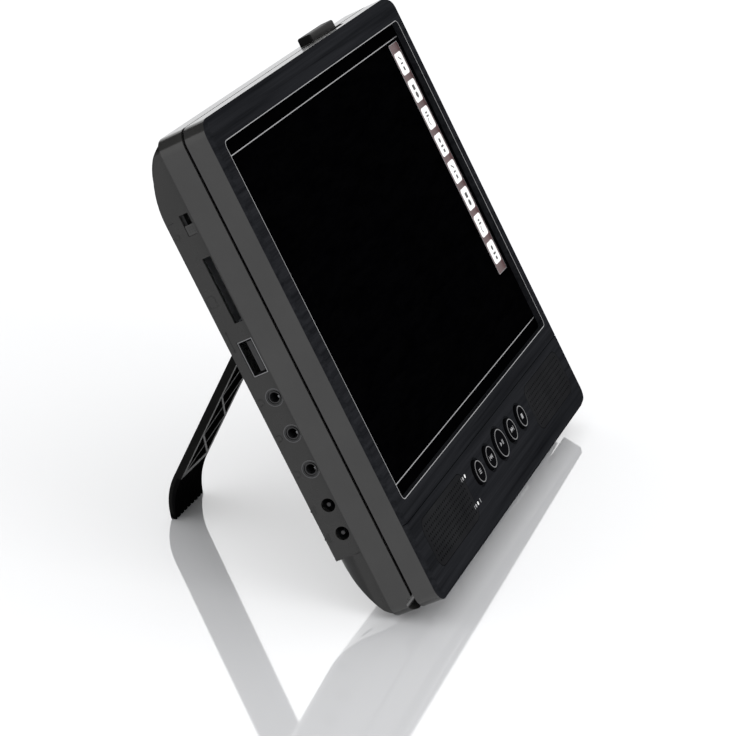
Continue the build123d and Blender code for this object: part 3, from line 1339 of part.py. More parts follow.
with BuildPart() as traverse_chassis:
    with BuildSketch(Plane.XY.offset(CHASSIS_Z)):
        with Locations((CHASSIS_LEFT, CHASSIS_LOW)):
            Rectangle(
                CHASSIS_RIGHT - CHASSIS_LEFT,
                CHASSIS_HIGH - CHASSIS_LOW,
                align=(Align.MIN, Align.MIN),
            )
    extrude(amount=-CHASSIS_T)
    fillet(traverse_chassis.edges().filter_by(Axis.Z), CHASSIS_R)
    with BuildSketch(Plane.XY.offset(CHASSIS_Z)):
        with Locations((WELL_X, WELL_Y - MOTOR_R - MOTOR_GAP)):
            Rectangle(
                SLED_W + 2 * SLED_GAP,
                WELL_Y - MOTOR_R - MOTOR_GAP - SLED_END_Y,
                align=(Align.CENTER, Align.MAX),
            )
        with Locations((WELL_X, WELL_Y)):
            Circle(SPINDLE_HOLE_R)
        with Locations((LEAD_X, MOTOR_WALL_Y + CHASSIS_T)):
            Rectangle(
                2 * (SLED_MOTOR_R + MOTOR_GAP),
                SLED_MOTOR_L + 2 * MOTOR_GAP,
                align=(Align.CENTER, Align.MIN),
            )
        with Locations(*BUSHES):
            Circle(BUSH_R + SCREW_CLEAR)
    extrude(amount=-CHASSIS_T, mode=Mode.SUBTRACT)
    # End walls that hold the guide rods, then the two bearings of the lead screw.
    for start in (CHASSIS_LOW, CHASSIS_HIGH - ROD_WALL):
        with BuildSketch(Plane.XY.offset(CHASSIS_BACK_Z)):
            with Locations((WELL_X, start)):
                Rectangle(
                    2 * (ROD_SPREAD + ROD_WALL_SIDE), ROD_WALL, align=(Align.CENTER, Align.MIN)
                )
        extrude(amount=ROD_Z - CHASSIS_LIP - CHASSIS_BACK_Z)
    for start in (LEAD_LOW, MOTOR_WALL_Y):
        with BuildSketch(Plane.XY.offset(CHASSIS_BACK_Z)):
            with Locations((LEAD_X, start)):
                Rectangle(LEAD_WALL_W, CHASSIS_T, align=(Align.CENTER, Align.MIN))
        extrude(amount=LEAD_Z - CHASSIS_LIP - CHASSIS_BACK_Z)
    with BuildSketch(Plane.XZ.offset(-CHASSIS_LOW)):
        with Locations(*ROD_PLACES):
            Circle(ROD_R + SCREW_CLEAR)
    extrude(amount=CHASSIS_LOW - CHASSIS_HIGH, mode=Mode.SUBTRACT)
    with BuildSketch(Plane.XZ.offset(-LEAD_LOW)):
        with Locations((LEAD_X, LEAD_Z)):
            Circle(LEAD_R + ROD_CLEAR)
    extrude(amount=LEAD_LOW - MOTOR_WALL_Y - CHASSIS_T, mode=Mode.SUBTRACT)
pieces["traverse_chassis"] = traverse_chassis

with BuildPart() as drive_bushes:
    for low_z, high_z, radius in (
        (STUD_Z, CHASSIS_BACK_Z, BUSH_R + BUSH_FLANGE),
        (CHASSIS_BACK_Z, CHASSIS_Z, BUSH_R),
        (CHASSIS_Z, CHASSIS_Z + BUSH_FLANGE_T, BUSH_R + BUSH_FLANGE),
    ):
        with BuildSketch(Plane.XY.offset(low_z)):
            with Locations(*BUSHES):
                Circle(radius)
                Circle(STUD_R + SCREW_CLEAR, mode=Mode.SUBTRACT)
        extrude(amount=high_z - low_z)
pieces["drive_bushes"] = drive_bushes

pieces["drive_screws"] = screw_group(
    BUSHES, STUD_Z, STUD_Z - SCREW_HEAD_T, STUD_Z + DRIVE_SCREW_L
)

with BuildPart() as guide_rods:
    with BuildSketch(Plane.XZ.offset(-CHASSIS_LOW - ROD_END)):
        with Locations(*ROD_PLACES):
            Circle(ROD_R)
    extrude(amount=CHASSIS_LOW - CHASSIS_HIGH + 2 * ROD_END)
pieces["guide_rods"] = guide_rods

with BuildPart() as spindle_motor:
    with BuildSketch(Plane.XY.offset(CHASSIS_BACK_Z)):
        with Locations((WELL_X, WELL_Y)):
            Circle(MOTOR_R)
            Circle(SPINDLE_R + ROD_CLEAR, mode=Mode.SUBTRACT)
    extrude(amount=-MOTOR_T)
pieces["spindle_motor"] = spindle_motor

with BuildPart() as turntable:
    with BuildSketch(Plane.XY.offset(SEAT_Z)):
        with Locations((WELL_X, WELL_Y)):
            Circle(TABLE_R)
    extrude(amount=-TABLE_T)
    with BuildSketch(Plane.XY.offset(SEAT_Z)):
        with Locations((WELL_X, WELL_Y)):
            Circle(HUB_R)
    extrude(amount=HUB_T)
    chamfer(turntable.edges().group_by(Axis.Z)[-1], HUB_CHAMFER)
    with BuildSketch(Plane.XY.offset(SEAT_Z + FINGER_LIFT)):
        with Locations((WELL_X, WELL_Y)):
            with PolarLocations(HUB_R - FINGER_IN, 3, start_angle=90):
                Rectangle(FINGER_W + 2 * FINGER_CLEAR, FINGER_D + 2 * FINGER_CLEAR)
    extrude(amount=HUB_T, mode=Mode.SUBTRACT)
    with BuildSketch(Plane.XY.offset(SEAT_Z)):
        with Locations((WELL_X, WELL_Y)):
            Circle(SPINDLE_R)
    extrude(amount=CHASSIS_BACK_Z - MOTOR_T + SPINDLE_END - SEAT_Z)
pieces["turntable"] = turntable

with BuildPart() as hub_fingers:
    with BuildSketch(Plane.XY.offset(SEAT_Z + FINGER_LIFT)):
        with Locations((WELL_X, WELL_Y)):
            with PolarLocations(HUB_R - FINGER_IN, 3, start_angle=90):
                Rectangle(FINGER_W, FINGER_D)
    extrude(amount=FINGER_T)
pieces["hub_fingers"] = hub_fingers

with BuildPart() as pickup_sled:
    with BuildSketch(Plane.XY.offset(SLED_Z)):
        with Locations((WELL_X, SLED_Y)):
            RectangleRounded(SLED_W, SLED_L, SLED_R)
    extrude(amount=-SLED_T)
    with BuildSketch(Plane.XZ.offset(-SLED_Y - SLED_L / 2)):
        with Locations(*ROD_PLACES):
            Circle(ROD_R + ROD_CLEAR)
    extrude(amount=SLED_L, mode=Mode.SUBTRACT)
    # Arm that reaches the thread of the lead screw.
    arm_start = WELL_X + SLED_W / 2
    arm_end = LEAD_X - LEAD_R - SLED_ARM_GAP
    arm_low = LEAD_Z - SLED_ARM_T / 2
    port_box(arm_start, arm_end, SLED_Y, SLED_ARM_W, arm_low, arm_low + SLED_ARM_T)
pieces["pickup_sled"] = pickup_sled

with BuildPart() as lens_holder:
    with BuildSketch(Plane.XY.offset(SLED_Z)):
        with Locations((WELL_X, SLED_Y)):
            RectangleRounded(LENS_HOLDER_W, 2 * (LENS_R + LENS_HOLDER_WALL), LENS_HOLDER_WALL)
            Circle(LENS_R + SCREW_CLEAR, mode=Mode.SUBTRACT)
    extrude(amount=LENS_HOLDER_T)
pieces["lens_holder"] = lens_holder

with BuildPart() as objective_lens:
    with BuildSketch(Plane.XY.offset(SLED_Z)):
        with Locations((WELL_X, SLED_Y)):
            Circle(LENS_R)
    extrude(amount=LENS_HOLDER_T - LENS_SUNK)
    fillet(objective_lens.edges().group_by(Axis.Z)[-1], LENS_CROWN_R)
pieces["objective_lens"] = objective_lens

with BuildPart() as lead_screw:
    with BuildSketch(Plane.XZ.offset(-LEAD_LOW + LEAD_END)):
        with Locations((LEAD_X, LEAD_Z)):
            Circle(LEAD_R)
    extrude(amount=LEAD_LOW - LEAD_END - MOTOR_WALL_Y - CHASSIS_T + LAYER_GAP)
pieces["lead_screw"] = lead_screw

with BuildPart() as sled_motor:
    with BuildSketch(Plane.XZ.offset(-MOTOR_WALL_Y - CHASSIS_T)):
        with Locations((LEAD_X, LEAD_Z)):
            Circle(SLED_MOTOR_R)
    extrude(amount=-SLED_MOTOR_L)
pieces["sled_motor"] = sled_motor

# ---------------------------------------------------------------- main board and battery

with BuildPart() as main_board:
    with BuildSketch(Plane.XY.offset(MAIN_BOARD_Z)):
        with Locations((MAIN_BOARD_X, MAIN_BOARD_Y)):
            Rectangle(MAIN_BOARD_W, MAIN_BOARD_H)
        with Locations(*BOARD_SCREWS):
            Circle(SCREW_R + HEAD_CLEAR, mode=Mode.SUBTRACT)
    extrude(amount=-MAIN_BOARD_T)
pieces["main_board"] = main_board

with BuildPart() as board_components:
    for x, y, width, height, thick in CHIPS:
        with BuildSketch(Plane.XY.offset(MAIN_BOARD_Z)):
            with Locations((MAIN_BOARD_X + x, MAIN_BOARD_Y + y)):
                Rectangle(width, height)
        extrude(amount=thick)
    with BuildSketch(Plane.XY.offset(MAIN_BOARD_Z)):
        with Locations((MAIN_BOARD_X + CAPACITOR_X, MAIN_BOARD_Y + CAPACITOR_Y)):
            with GridLocations(1, CAPACITOR_PITCH, 1, 2):
                Circle(CAPACITOR_R)
    extrude(amount=CAPACITOR_H)
pieces["board_components"] = board_components

pieces["board_screws"] = screw_group(
    BOARD_SCREWS, MAIN_BOARD_Z, MAIN_BOARD_Z + SCREW_HEAD_T, MAIN_BOARD_Z - BOARD_SCREW_L
)

with BuildPart() as battery_cells:
    with BuildSketch(Plane.XY.offset(INNER_BACK_Z)):
        with Locations((BATTERY_X, BATTERY_Y)):
            with GridLocations(1, BATTERY_H + BATTERY_GAP, 1, 2):
                RectangleRounded(BATTERY_W, BATTERY_H, BATTERY_R)
    extrude(amount=BATTERY_T)
pieces["battery_cells"] = battery_cells

# ---------------------------------------------------------------- standing the player on its feet

LEANING = Location((0, 0, FLOOR_DROP), (90 - LEAN, 0, 0))
leaning_box = Compound([piece.part.moved(LEANING) for piece in pieces.values()]).bounding_box()
STANDING = Location((0, -leaning_box.center().Y, 0)) * LEANING

if __name__ == "__main__":
    os.makedirs("parts", exist_ok=True)
    for name, piece in pieces.items():
        piece.part = piece.part.moved(STANDING)
        piece.part.label = name
        export_step(piece.part, f"parts/{name}.step")
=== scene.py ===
"""Looks of the portable DVD player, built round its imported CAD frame.

Small pieces are drawn in the player's own frame in millimetres, X across the screen from its
middle, Y up the screen from the lower end of the flat front, Z out of the screen. DEVICE turns
that frame into the row frame in metres.
"""

import json
from math import cos, hypot, pi, radians, sin

import bmesh
import bpy
from mathutils import Matrix, Vector


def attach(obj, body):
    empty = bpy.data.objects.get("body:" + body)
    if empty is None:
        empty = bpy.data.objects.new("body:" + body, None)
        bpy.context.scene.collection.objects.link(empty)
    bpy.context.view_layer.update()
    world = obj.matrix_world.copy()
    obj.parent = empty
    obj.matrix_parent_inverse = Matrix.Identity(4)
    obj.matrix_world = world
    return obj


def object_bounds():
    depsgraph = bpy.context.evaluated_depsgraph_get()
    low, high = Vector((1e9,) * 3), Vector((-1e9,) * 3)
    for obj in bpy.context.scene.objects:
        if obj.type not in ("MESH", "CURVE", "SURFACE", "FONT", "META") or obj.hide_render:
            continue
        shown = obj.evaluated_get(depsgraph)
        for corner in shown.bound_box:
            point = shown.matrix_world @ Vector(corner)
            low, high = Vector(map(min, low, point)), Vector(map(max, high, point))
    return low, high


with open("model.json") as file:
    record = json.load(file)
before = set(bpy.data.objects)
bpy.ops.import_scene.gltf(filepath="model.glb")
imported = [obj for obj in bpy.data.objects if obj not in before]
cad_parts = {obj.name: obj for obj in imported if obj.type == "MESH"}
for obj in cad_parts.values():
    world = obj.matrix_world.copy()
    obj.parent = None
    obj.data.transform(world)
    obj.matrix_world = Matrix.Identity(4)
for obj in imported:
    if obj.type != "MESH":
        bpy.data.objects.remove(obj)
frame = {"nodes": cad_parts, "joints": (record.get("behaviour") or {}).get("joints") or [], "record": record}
CAD_BOX = [list(corner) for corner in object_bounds()]

# ---------------------------------------------------------------- named sizes, millimetres

# the player's frame
LEAN = radians(27.5)
HINGE_Y = 1.2
HINGE_Z = -10.3

# screen
WINDOW_W = 198.4
WINDOW_H = 135.3
WINDOW_Y = 102.9
WINDOW_R = 2.0
LENS_Z = -2.4
LINE_W = 0.35
LINE_T = 0.04
LINE_GAP = 0.05  # edge line outside the window
LINE_END = 1.0  # cross lines stop short of the window's sides
UPPER_LINE = 5.5  # below the top of the window
LOWER_LINE = 4.6  # above the bottom of the window

# label strip
STRIP_X = 90.0
STRIP_LOW = 66.0
STRIP_HIGH = 161.0
STRIP_W = 10.4
STRIP_R = 0.6
STRIP_END = 2.5  # backing past the labels at each end
STRIP_EDGE = 0.2
PILL_COUNT = 8
PILL_W = 8.4
PILL_R = 1.3
PILL_GAP = 2.6
LAYER = 0.02  # backing below its outline, labels above it
MARK_LIFT = 0.05  # marks above the outline

# control panel
BUTTON_X = 0.6
BUTTON_Y = 18.6
BUTTON_PITCH = 15.2
BUTTON_TOP = 0.8
SMALL_BUTTON_R = 4.7
LARGE_BUTTON_R = 6.0
SYMBOL_W = 0.35
SYMBOL_H = 0.9  # half the height of a button's symbol
PAUSE_W = 0.45
STOP_W = 1.9
BUTTON_RIM_IN = 0.5
BUTTON_RIM_W = 0.4
BUTTON_RIM_LOW = 0.1
BUTTON_RIM_HIGH = 0.12
LIGHT_Y = (22.0, 11.0)
LIGHT_DOT_X = -45.4
LIGHT_DOT_R = 0.7
LIGHT_BAR_X = -47.2
LIGHT_BAR_W = 0.4
LIGHT_END_X = -39.9
LIGHT_END_Y = (10.2, 11.8)
LIGHT_END_W = 0.5

# port wall: along is up the wall, out is towards the viewer of the screen
PORT_X = -105.3
PORT_Z = -23.0
ROUND_JACKS = (85.9, 72.1, 58.3)
POWER_JACKS = (44.4, 33.5)
RIM_R = 3.3
RIM_W = 0.35
RIM_T = 0.12
CONTACT_W = 0.9
CONTACT_H = 0.5
CONTACT_R = 0.1
CONTACT_DEPTHS = (-9.0, -3.4)
ENGRAVED = 0.01  # how far marks and rims sink into the wall
MARK_Z = -28.4
MARK_W = 0.3
EAR_W = 0.5
EAR_R = 1.1
EAR_LOW = 0.9
EAR_HIGH = 0.1
SUPPLY_W = 1.6
SUPPLY_DROP = 0.7
SUPPLY_DOT_DROP = 1.6
SUPPLY_DOT_R = 0.45
CARD_MARK = (124.0, 0.6)
CARD_CORNERS = ((-2, -1.5), (2, -1.5), (2, 0.7), (1.2, 1.5), (-2, 1.5))
USB_DOT = 105.6
USB_DOT_R = 0.55
USB_LINE = (106.0, 112.0)
USB_POINT = 113.2
USB_POINT_W = 0.6
SWITCH_ON = 153.6
SWITCH_OFF = 148.6
SWITCH_MARK_W = 0.35
SWITCH_MARK_R = 0.9

# camera, in the player's frame
EYE = (-962.4, 236.7, 392.9)
VIEW_AXIS = (0.9021, -0.1618, -0.4001)
LENS = 139.7
SENSOR = 36


def joint(name):
    """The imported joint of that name."""
    return next(item for item in frame["joints"] if item["name"] == name)


TURN = Matrix.Rotation(pi / 2 - LEAN, 4, "X")
HINGE_AT = Vector(joint("display_hinge")["pos_m"])
HINGE_AT.x = 0
DEVICE = (
    Matrix.Translation(HINGE_AT)
    @ TURN
    @ Matrix.Scale(0.001, 4)
    @ Matrix.Translation((0, -HINGE_Y, -HINGE_Z))
)
SIDE = Matrix(((0, 0, -1, PORT_X), (1, 0, 0, 0), (0, 1, 0, 0), (0, 0, 0, 1)))

# ---------------------------------------------------------------- materials


def new_material(name):
    """An empty node material with a Principled shader: returns it, its nodes, links and shader."""
    material = bpy.data.materials.new(name)
    material.use_nodes = True
    tree = material.node_tree
    return material, tree.nodes, tree.links, tree.nodes["Principled BSDF"]


def device_coordinates(nodes, links, stretch):
    """Object coordinates turned into the player's frame, in metres, times stretch."""
    place = nodes.new("ShaderNodeTexCoord")
    lean = nodes.new("ShaderNodeMapping")
    lean.vector_type = "POINT"
    lean.inputs["Rotation"].default_value = (LEAN - pi / 2, 0, 0)
    grow = nodes.new("ShaderNodeMapping")
    grow.inputs["Scale"].default_value = stretch
    links.new(place.outputs["Object"], lean.inputs["Vector"])
    links.new(lean.outputs["Vector"], grow.inputs["Vector"])
    return grow.outputs["Vector"]


def noise(nodes, links, vector, detail=3.0, rough=0.6):
    """A noise texture whose features are about one unit of vector wide."""
    texture = nodes.new("ShaderNodeTexNoise")
    texture.inputs["Scale"].default_value = 1.0
    texture.inputs["Detail"].default_value = detail
    texture.inputs["Roughness"].default_value = rough
    links.new(vector, texture.inputs["Vector"])
    return texture.outputs["Fac"]


def spread(nodes, links, value, low, high):
    """Maps the middle of a 0 to 1 pattern to low and high."""
    mapped = nodes.new("ShaderNodeMapRange")
    mapped.inputs["From Min"].default_value = 0.3
    mapped.inputs["From Max"].default_value = 0.7
    mapped.inputs["To Min"].default_value = low
    mapped.inputs["To Max"].default_value = high
    links.new(value, mapped.inputs["Value"])
    return mapped.outputs["Result"]


def blend(nodes, links, factor, first, second):
    """Mixes two colours by factor."""
    mix = nodes.new("ShaderNodeMix")
    mix.data_type = "RGBA"
    mix.inputs["A"].default_value = (*first, 1)
    mix.inputs["B"].default_value = (*second, 1)
    links.new(factor, mix.inputs["Factor"])
    return mix.outputs["Result"]


def bump(nodes, links, shader, height, distance, strength=0.4):
    """Gives the shader a relief of distance metres."""
    relief = nodes.new("ShaderNodeBump")
    relief.inputs["Strength"].default_value = strength
    relief.inputs["Distance"].default_value = distance
    links.new(height, relief.inputs["Height"])
    links.new(relief.outputs["Normal"], shader.inputs["Normal"])


def textured(
    name, dark, light, rough, grain, relief=0.00001, metallic=0.0, stretch=(1, 1, 1), specular=0.5
):
    """Material with a fine grain in gloss and relief, and a faint wide cloudiness in colour."""
    material, nodes, links, shader = new_material(name)
    fine = device_coordinates(nodes, links, tuple(grain * part for part in stretch))
    wide = device_coordinates(nodes, links, (45, 45, 45))
    grains = noise(nodes, links, fine)
    clouds = noise(nodes, links, wide, 4.0)
    colour = blend(nodes, links, spread(nodes, links, clouds, 0, 1), dark, light)
    links.new(colour, shader.inputs["Base Color"])
    low, high = rough
    links.new(spread(nodes, links, grains, low, high), shader.inputs["Roughness"])
    bump(nodes, links, shader, grains, relief)
    shader.inputs["Metallic"].default_value = metallic
    shader.inputs["Specular IOR Level"].default_value = specular
    return material


def hairline(name):
    """Charcoal with fine horizontal brush lines."""
    material, nodes, links, shader = new_material(name)
    lines = noise(nodes, links, device_coordinates(nodes, links, (14, 2600, 2600)), 6.0, 0.75)
    bands = noise(nodes, links, device_coordinates(nodes, links, (9, 420, 420)), 3.0, 0.6)
    both = nodes.new("ShaderNodeMath")
    both.operation = "MULTIPLY_ADD"
    both.inputs[1].default_value = 0.55
    links.new(bands, both.inputs[0])
    half = nodes.new("ShaderNodeMath")
    half.operation = "MULTIPLY"
    half.inputs[1].default_value = 0.45
    links.new(lines, half.inputs[0])
    links.new(half.outputs[0], both.inputs[2])
    streaks = both.outputs[0]
    tone = spread(nodes, links, streaks, 0, 1)
    colour = blend(nodes, links, tone, (0.003, 0.0033, 0.004), (0.0165, 0.0172, 0.0195))
    links.new(colour, shader.inputs["Base Color"])
    links.new(spread(nodes, links, streaks, 0.22, 0.42), shader.inputs["Roughness"])
    bump(nodes, links, shader, streaks, 0.00002, 0.25)
    shader.inputs["Specular IOR Level"].default_value = 0
    return material


def polished(name, colour, rough, specular=0.5):
    """Polished plastic or glass with the faintest dust and wiping marks."""
    material, nodes, links, shader = new_material(name)
    wipes = noise(nodes, links, device_coordinates(nodes, links, (60, 240, 60)), 5.0, 0.7)
    brighter = tuple(1.6 * part + 0.0004 for part in colour)
    links.new(
        blend(nodes, links, spread(nodes, links, wipes, 0, 1), colour, brighter),
        shader.inputs["Base Color"],
    )
    links.new(spread(nodes, links, wipes, rough, rough * 1.5), shader.inputs["Roughness"])
    shader.inputs["Specular IOR Level"].default_value = specular
    return material


def fabric_cone(name):
    """Pressed paper of the speaker cones, with a woven look."""
    material, nodes, links, shader = new_material(name)
    weave = nodes.new("ShaderNodeTexVoronoi")
    weave.inputs["Scale"].default_value = 1.0
    links.new(device_coordinates(nodes, links, (2200, 2200, 2200)), weave.inputs["Vector"])
    colour = blend(nodes, links, weave.outputs["Distance"], (0.01, 0.01, 0.01), (0.05, 0.05, 0.05))
    links.new(colour, shader.inputs["Base Color"])
    shader.inputs["Roughness"].default_value = 0.9
    bump(nodes, links, shader, weave.outputs["Distance"], 0.0001)
    return material


def circuit_board(name):
    """Green solder mask over copper tracks."""
    material, nodes, links, shader = new_material(name)
    tracks = nodes.new("ShaderNodeTexBrick")
    tracks.inputs["Scale"].default_value = 1.0
    tracks.inputs["Mortar Size"].default_value = 0.06
    tracks.inputs["Color1"].default_value = (0.008, 0.07, 0.03, 1)
    tracks.inputs["Color2"].default_value = (0.01, 0.085, 0.035, 1)
    tracks.inputs["Mortar"].default_value = (0.04, 0.16, 0.06, 1)
    links.new(device_coordinates(nodes, links, (320, 320, 320)), tracks.inputs["Vector"])
    links.new(tracks.outputs["Color"], shader.inputs["Base Color"])
    shader.inputs["Roughness"].default_value = 0.35
    bump(nodes, links, shader, tracks.outputs["Fac"], 0.00003)
    return material


MATERIALS = {
    "casing": textured(
        "casing_plastic", (0.019, 0.0188, 0.0185), (0.024, 0.0238, 0.0234), (0.13, 0.2), 5200,
        0.000004,
    ),
    "port_casing": textured(
        "port_casing_plastic", (0.010, 0.0098, 0.0095), (0.014, 0.0138, 0.0134), (0.2, 0.28), 5200,
        0.000005, specular=0.42,
    ),
    "bezel": hairline("bezel_hairline"),
    "screen": polished("screen_black", (0.0002, 0.0002, 0.0003), 0.03, 0),
    "rim": polished("rim_gloss", (0.03, 0.03, 0.032), 0.12, 0.6),
    "button": polished("button_gloss", (0.002, 0.002, 0.0024), 0.06, 0),
    "grille": textured(
        "grille_mesh", (0.008, 0.0082, 0.009), (0.013, 0.0133, 0.0142), (0.35, 0.5), 4000,
        specular=0,
    ),
    "stand": textured(
        "stand_plastic", (0.004, 0.004, 0.0039), (0.007, 0.007, 0.0068), (0.28, 0.4), 4800,
        specular=0.04,
    ),
    "rubber": textured(
        "black_rubber", (0.002, 0.002, 0.0021), (0.005, 0.005, 0.0052), (0.5, 0.62), 3000,
        0.00004, specular=0,
    ),
    "steel": textured(
        "brushed_steel", (0.5, 0.51, 0.53), (0.6, 0.61, 0.62), (0.22, 0.38), 900,
        0.000006, 1.0, (1, 8, 8),
    ),
    "socket_shell": textured(
        "socket_shell_metal", (0.16, 0.16, 0.165), (0.24, 0.24, 0.245), (0.25, 0.35), 1500,
        0.000006, 1.0,
    ),
    "motor": textured(
        "cast_metal", (0.42, 0.43, 0.45), (0.52, 0.53, 0.54), (0.35, 0.5), 2500, 0.00001, 1.0
    ),
    "jack": textured(
        "jack_plastic", (0.008, 0.008, 0.009), (0.014, 0.014, 0.015), (0.35, 0.5), 4500
    ),
    "board": circuit_board("solder_mask"),
    "display_glass": polished("panel_glass", (0.003, 0.003, 0.004), 0.08),
    "backlight": textured(
        "frosted_white", (0.55, 0.55, 0.55), (0.65, 0.65, 0.64), (0.5, 0.6), 2000
    ),
    "cone": fabric_cone("paper_cone"),
    "optic": polished("coated_lens", (0.05, 0.06, 0.16), 0.03, 0.8),
    # also used for the painted highlight of the window's bevel, a silver ring round the window
    "silver": textured(
        "silver_line_and_painted_bevel_highlight", (0.2, 0.2, 0.205), (0.27, 0.27, 0.275), (0.3, 0.4), 3000, 0.000004, 0.6
    ),
    "print_white": textured(
        "white_print", (0.74, 0.73, 0.73), (0.82, 0.81, 0.81), (0.35, 0.45), 2600
    ),
    "print_black": textured(
        "black_print", (0.01, 0.01, 0.01), (0.02, 0.02, 0.02), (0.35, 0.45), 2600
    ),
    "print_grey": textured(
        "grey_print", (0.15, 0.15, 0.155), (0.22, 0.22, 0.225), (0.4, 0.5), 2600
    ),
    "print_maroon": textured(
        "maroon_print", (0.028, 0.002, 0.003), (0.045, 0.004, 0.006), (0.3, 0.4), 2600
    ),
    "engraving": textured(
        "engraved_mark", (0.006, 0.006, 0.006), (0.01, 0.01, 0.01), (0.7, 0.8), 2600
    ),
}


def dress_frame():
    """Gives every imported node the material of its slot, and some their own."""
    own = {"back_cover": "port_casing", "release_button": "stand", "usb_port": "socket_shell"}
    for part in frame["record"]["subparts"]:
        node = frame["nodes"][part["node"]]
        key = own.get(part["node"], part["material_slot"])
        for slot in node.material_slots:
            slot.material = MATERIALS[key]


# ---------------------------------------------------------------- mesh pieces


def mesh_piece(name, vertices, faces, material, body, slot, to_row=DEVICE):
    """A piece made of vertices in the player's frame, riding on a body."""
    mesh = bpy.data.meshes.new(name)
    mesh.from_pydata([to_row @ Vector(corner) for corner in vertices], [], faces)
    shape = bmesh.new()
    shape.from_mesh(mesh)
    bmesh.ops.recalc_face_normals(shape, faces=shape.faces)
    shape.to_mesh(mesh)
    shape.free()
    mesh.materials.append(MATERIALS[material])
    piece = bpy.data.objects.new(name, mesh)
    bpy.context.scene.collection.objects.link(piece)
    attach(piece, body)
    return piece


def prism(outline, low, high):
    """Vertices and faces of a plate with that outline."""
    count = len(outline)
    vertices = [(x, y, low) for x, y in outline] + [(x, y, high) for x, y in outline]
    faces = [tuple(range(count))[::-1], tuple(range(count, 2 * count))]
    faces += [(i, (i + 1) % count, count + (i + 1) % count, count + i) for i in range(count)]
    return vertices, faces


def ring_prism(outer, inner, low, high):
    """Vertices and faces of a flat ring between two outlines with as many points each."""
    count = len(outer)
    loops = ((outer, low), (outer, high), (inner, high), (inner, low))
    vertices = [(x, y, z) for outline, z in loops for x, y in outline]
    faces = []
    for loop in range(4):
        start, after = loop * count, (loop + 1) % 4 * count
        for i in range(count):
            j = (i + 1) % count
            faces.append((start + i, start + j, after + j, after + i))
    return vertices, faces


def joined(solids):
    """Several solids' vertices and faces in one list."""
    vertices, faces = [], []
    for more_vertices, more_faces in solids:
        start = len(vertices)
        vertices += more_vertices
        faces += [tuple(start + index for index in face) for face in more_faces]
    return vertices, faces


def rounded(width, height, radius, x=0.0, y=0.0, steps=6):
    """Outline of a rounded rectangle about a point."""
    outline = []
    for corner, (across, up) in enumerate(((1, 1), (-1, 1), (-1, -1), (1, -1))):
        for step in range(steps + 1):
            angle = pi / 2 * (corner + step / steps)
            outline.append((
                x + across * (width / 2 - radius) + radius * cos(angle),
                y + up * (height / 2 - radius) + radius * sin(angle),
            ))
    return outline


def circle(radius, x=0.0, y=0.0, steps=40, start=0.0, end=2 * pi):
    """Points of a circle or of an arc of one."""
    count = steps if end - start > 1.99 * pi else steps + 1
    return [
        (x + radius * cos(start + (end - start) * i / steps),
         y + radius * sin(start + (end - start) * i / steps))
        for i in range(count)
    ]


def bar(start, end, width):
    """Outline of a straight stroke."""
    length = hypot(end[0] - start[0], end[1] - start[1])
    across = ((end[1] - start[1]) / length * width / 2, (start[0] - end[0]) / length * width / 2)
    return [
        (start[0] + across[0], start[1] + across[1]), (end[0] + across[0], end[1] + across[1]),
        (end[0] - across[0], end[1] - across[1]), (start[0] - across[0], start[1] - across[1]),
    ]


def arc_band(radius, width, x, y, start, end):
    """Outline of a curved stroke."""
    outside = circle(radius + width / 2, x, y, 16, start, end)
    inside = circle(radius - width / 2, x, y, 16, start, end)
    return outside + inside[::-1]


def shifted(outline, x, y, turn=0.0):
    """An outline turned about its own zero and moved."""
    return [(x + px * cos(turn) - py * sin(turn), y + px * sin(turn) + py * cos(turn))
            for px, py in outline]


def symbols(name, outlines, low, high, material, body, slot, to_row=DEVICE):
    """One piece made of thin plates."""
    vertices, faces = joined([prism(outline, low, high) for outline in outlines])
    return mesh_piece(name, vertices, faces, material, body, slot, to_row)


# ---------------------------------------------------------------- screen


def screen_lines():
    """Fine bright lines across the screen, and a silver line round the window that is a painted highlight of
    its bevel.
    """
    outer = rounded(WINDOW_W + 2 * LINE_W, WINDOW_H + 2 * LINE_W, WINDOW_R + LINE_W, 0, WINDOW_Y)
    inner = rounded(WINDOW_W + 2 * LINE_GAP, WINDOW_H + 2 * LINE_GAP, WINDOW_R, 0, WINDOW_Y)
    edge = ring_prism(outer, inner, -LINE_T, LINE_T)
    # painted highlight: this silver ring stands in for the light caught by the window's bevel
    mesh_piece("window_bevel_painted_highlight", *edge, "silver", "display_unit", "bezel")
    low_y = WINDOW_Y - WINDOW_H / 2 + LOWER_LINE
    high_y = WINDOW_Y + WINDOW_H / 2 - UPPER_LINE
    reach = WINDOW_W / 2 - LINE_END
    outlines = [bar((-reach, y), (reach, y), LINE_W) for y in (low_y, high_y)]
    symbols("screen_cross_lines", outlines, LENS_Z, LENS_Z + LINE_T, "silver", "display_unit", "screen")


def pill_marks(index, x, y):
    """Small generic marks inside one label of the strip."""
    kinds = (
        [
            bar((-2.6, -0.9), (-2.6, 0.9), 1.3),
            bar((-0.6, -1.5), (-0.6, 1.5), 0.8),
            circle(1.0, 1.8, 0),
        ],
        [
            arc_band(1.4, 0.5, -1.6, 0, 0.3, 2.8),
            bar((0.8, -1.4), (0.8, 1.4), 0.7),
            bar((2.2, -1), (2.2, 1), 0.7),
        ],
        [
            circle(1.3, -1.8, 0),
            rounded(2.2, 2.6, 0.4, 1.4, 0),
        ],
        [
            bar((-3, 0), (-1.4, 0), 1.6),
            bar((0, -1.2), (0, 1.2), 0.6),
            bar((1.4, -1.2), (3, 1.2), 0.6),
        ],
    )
    return [shifted(outline, x, y, pi / 2) for outline in kinds[index % len(kinds)]]


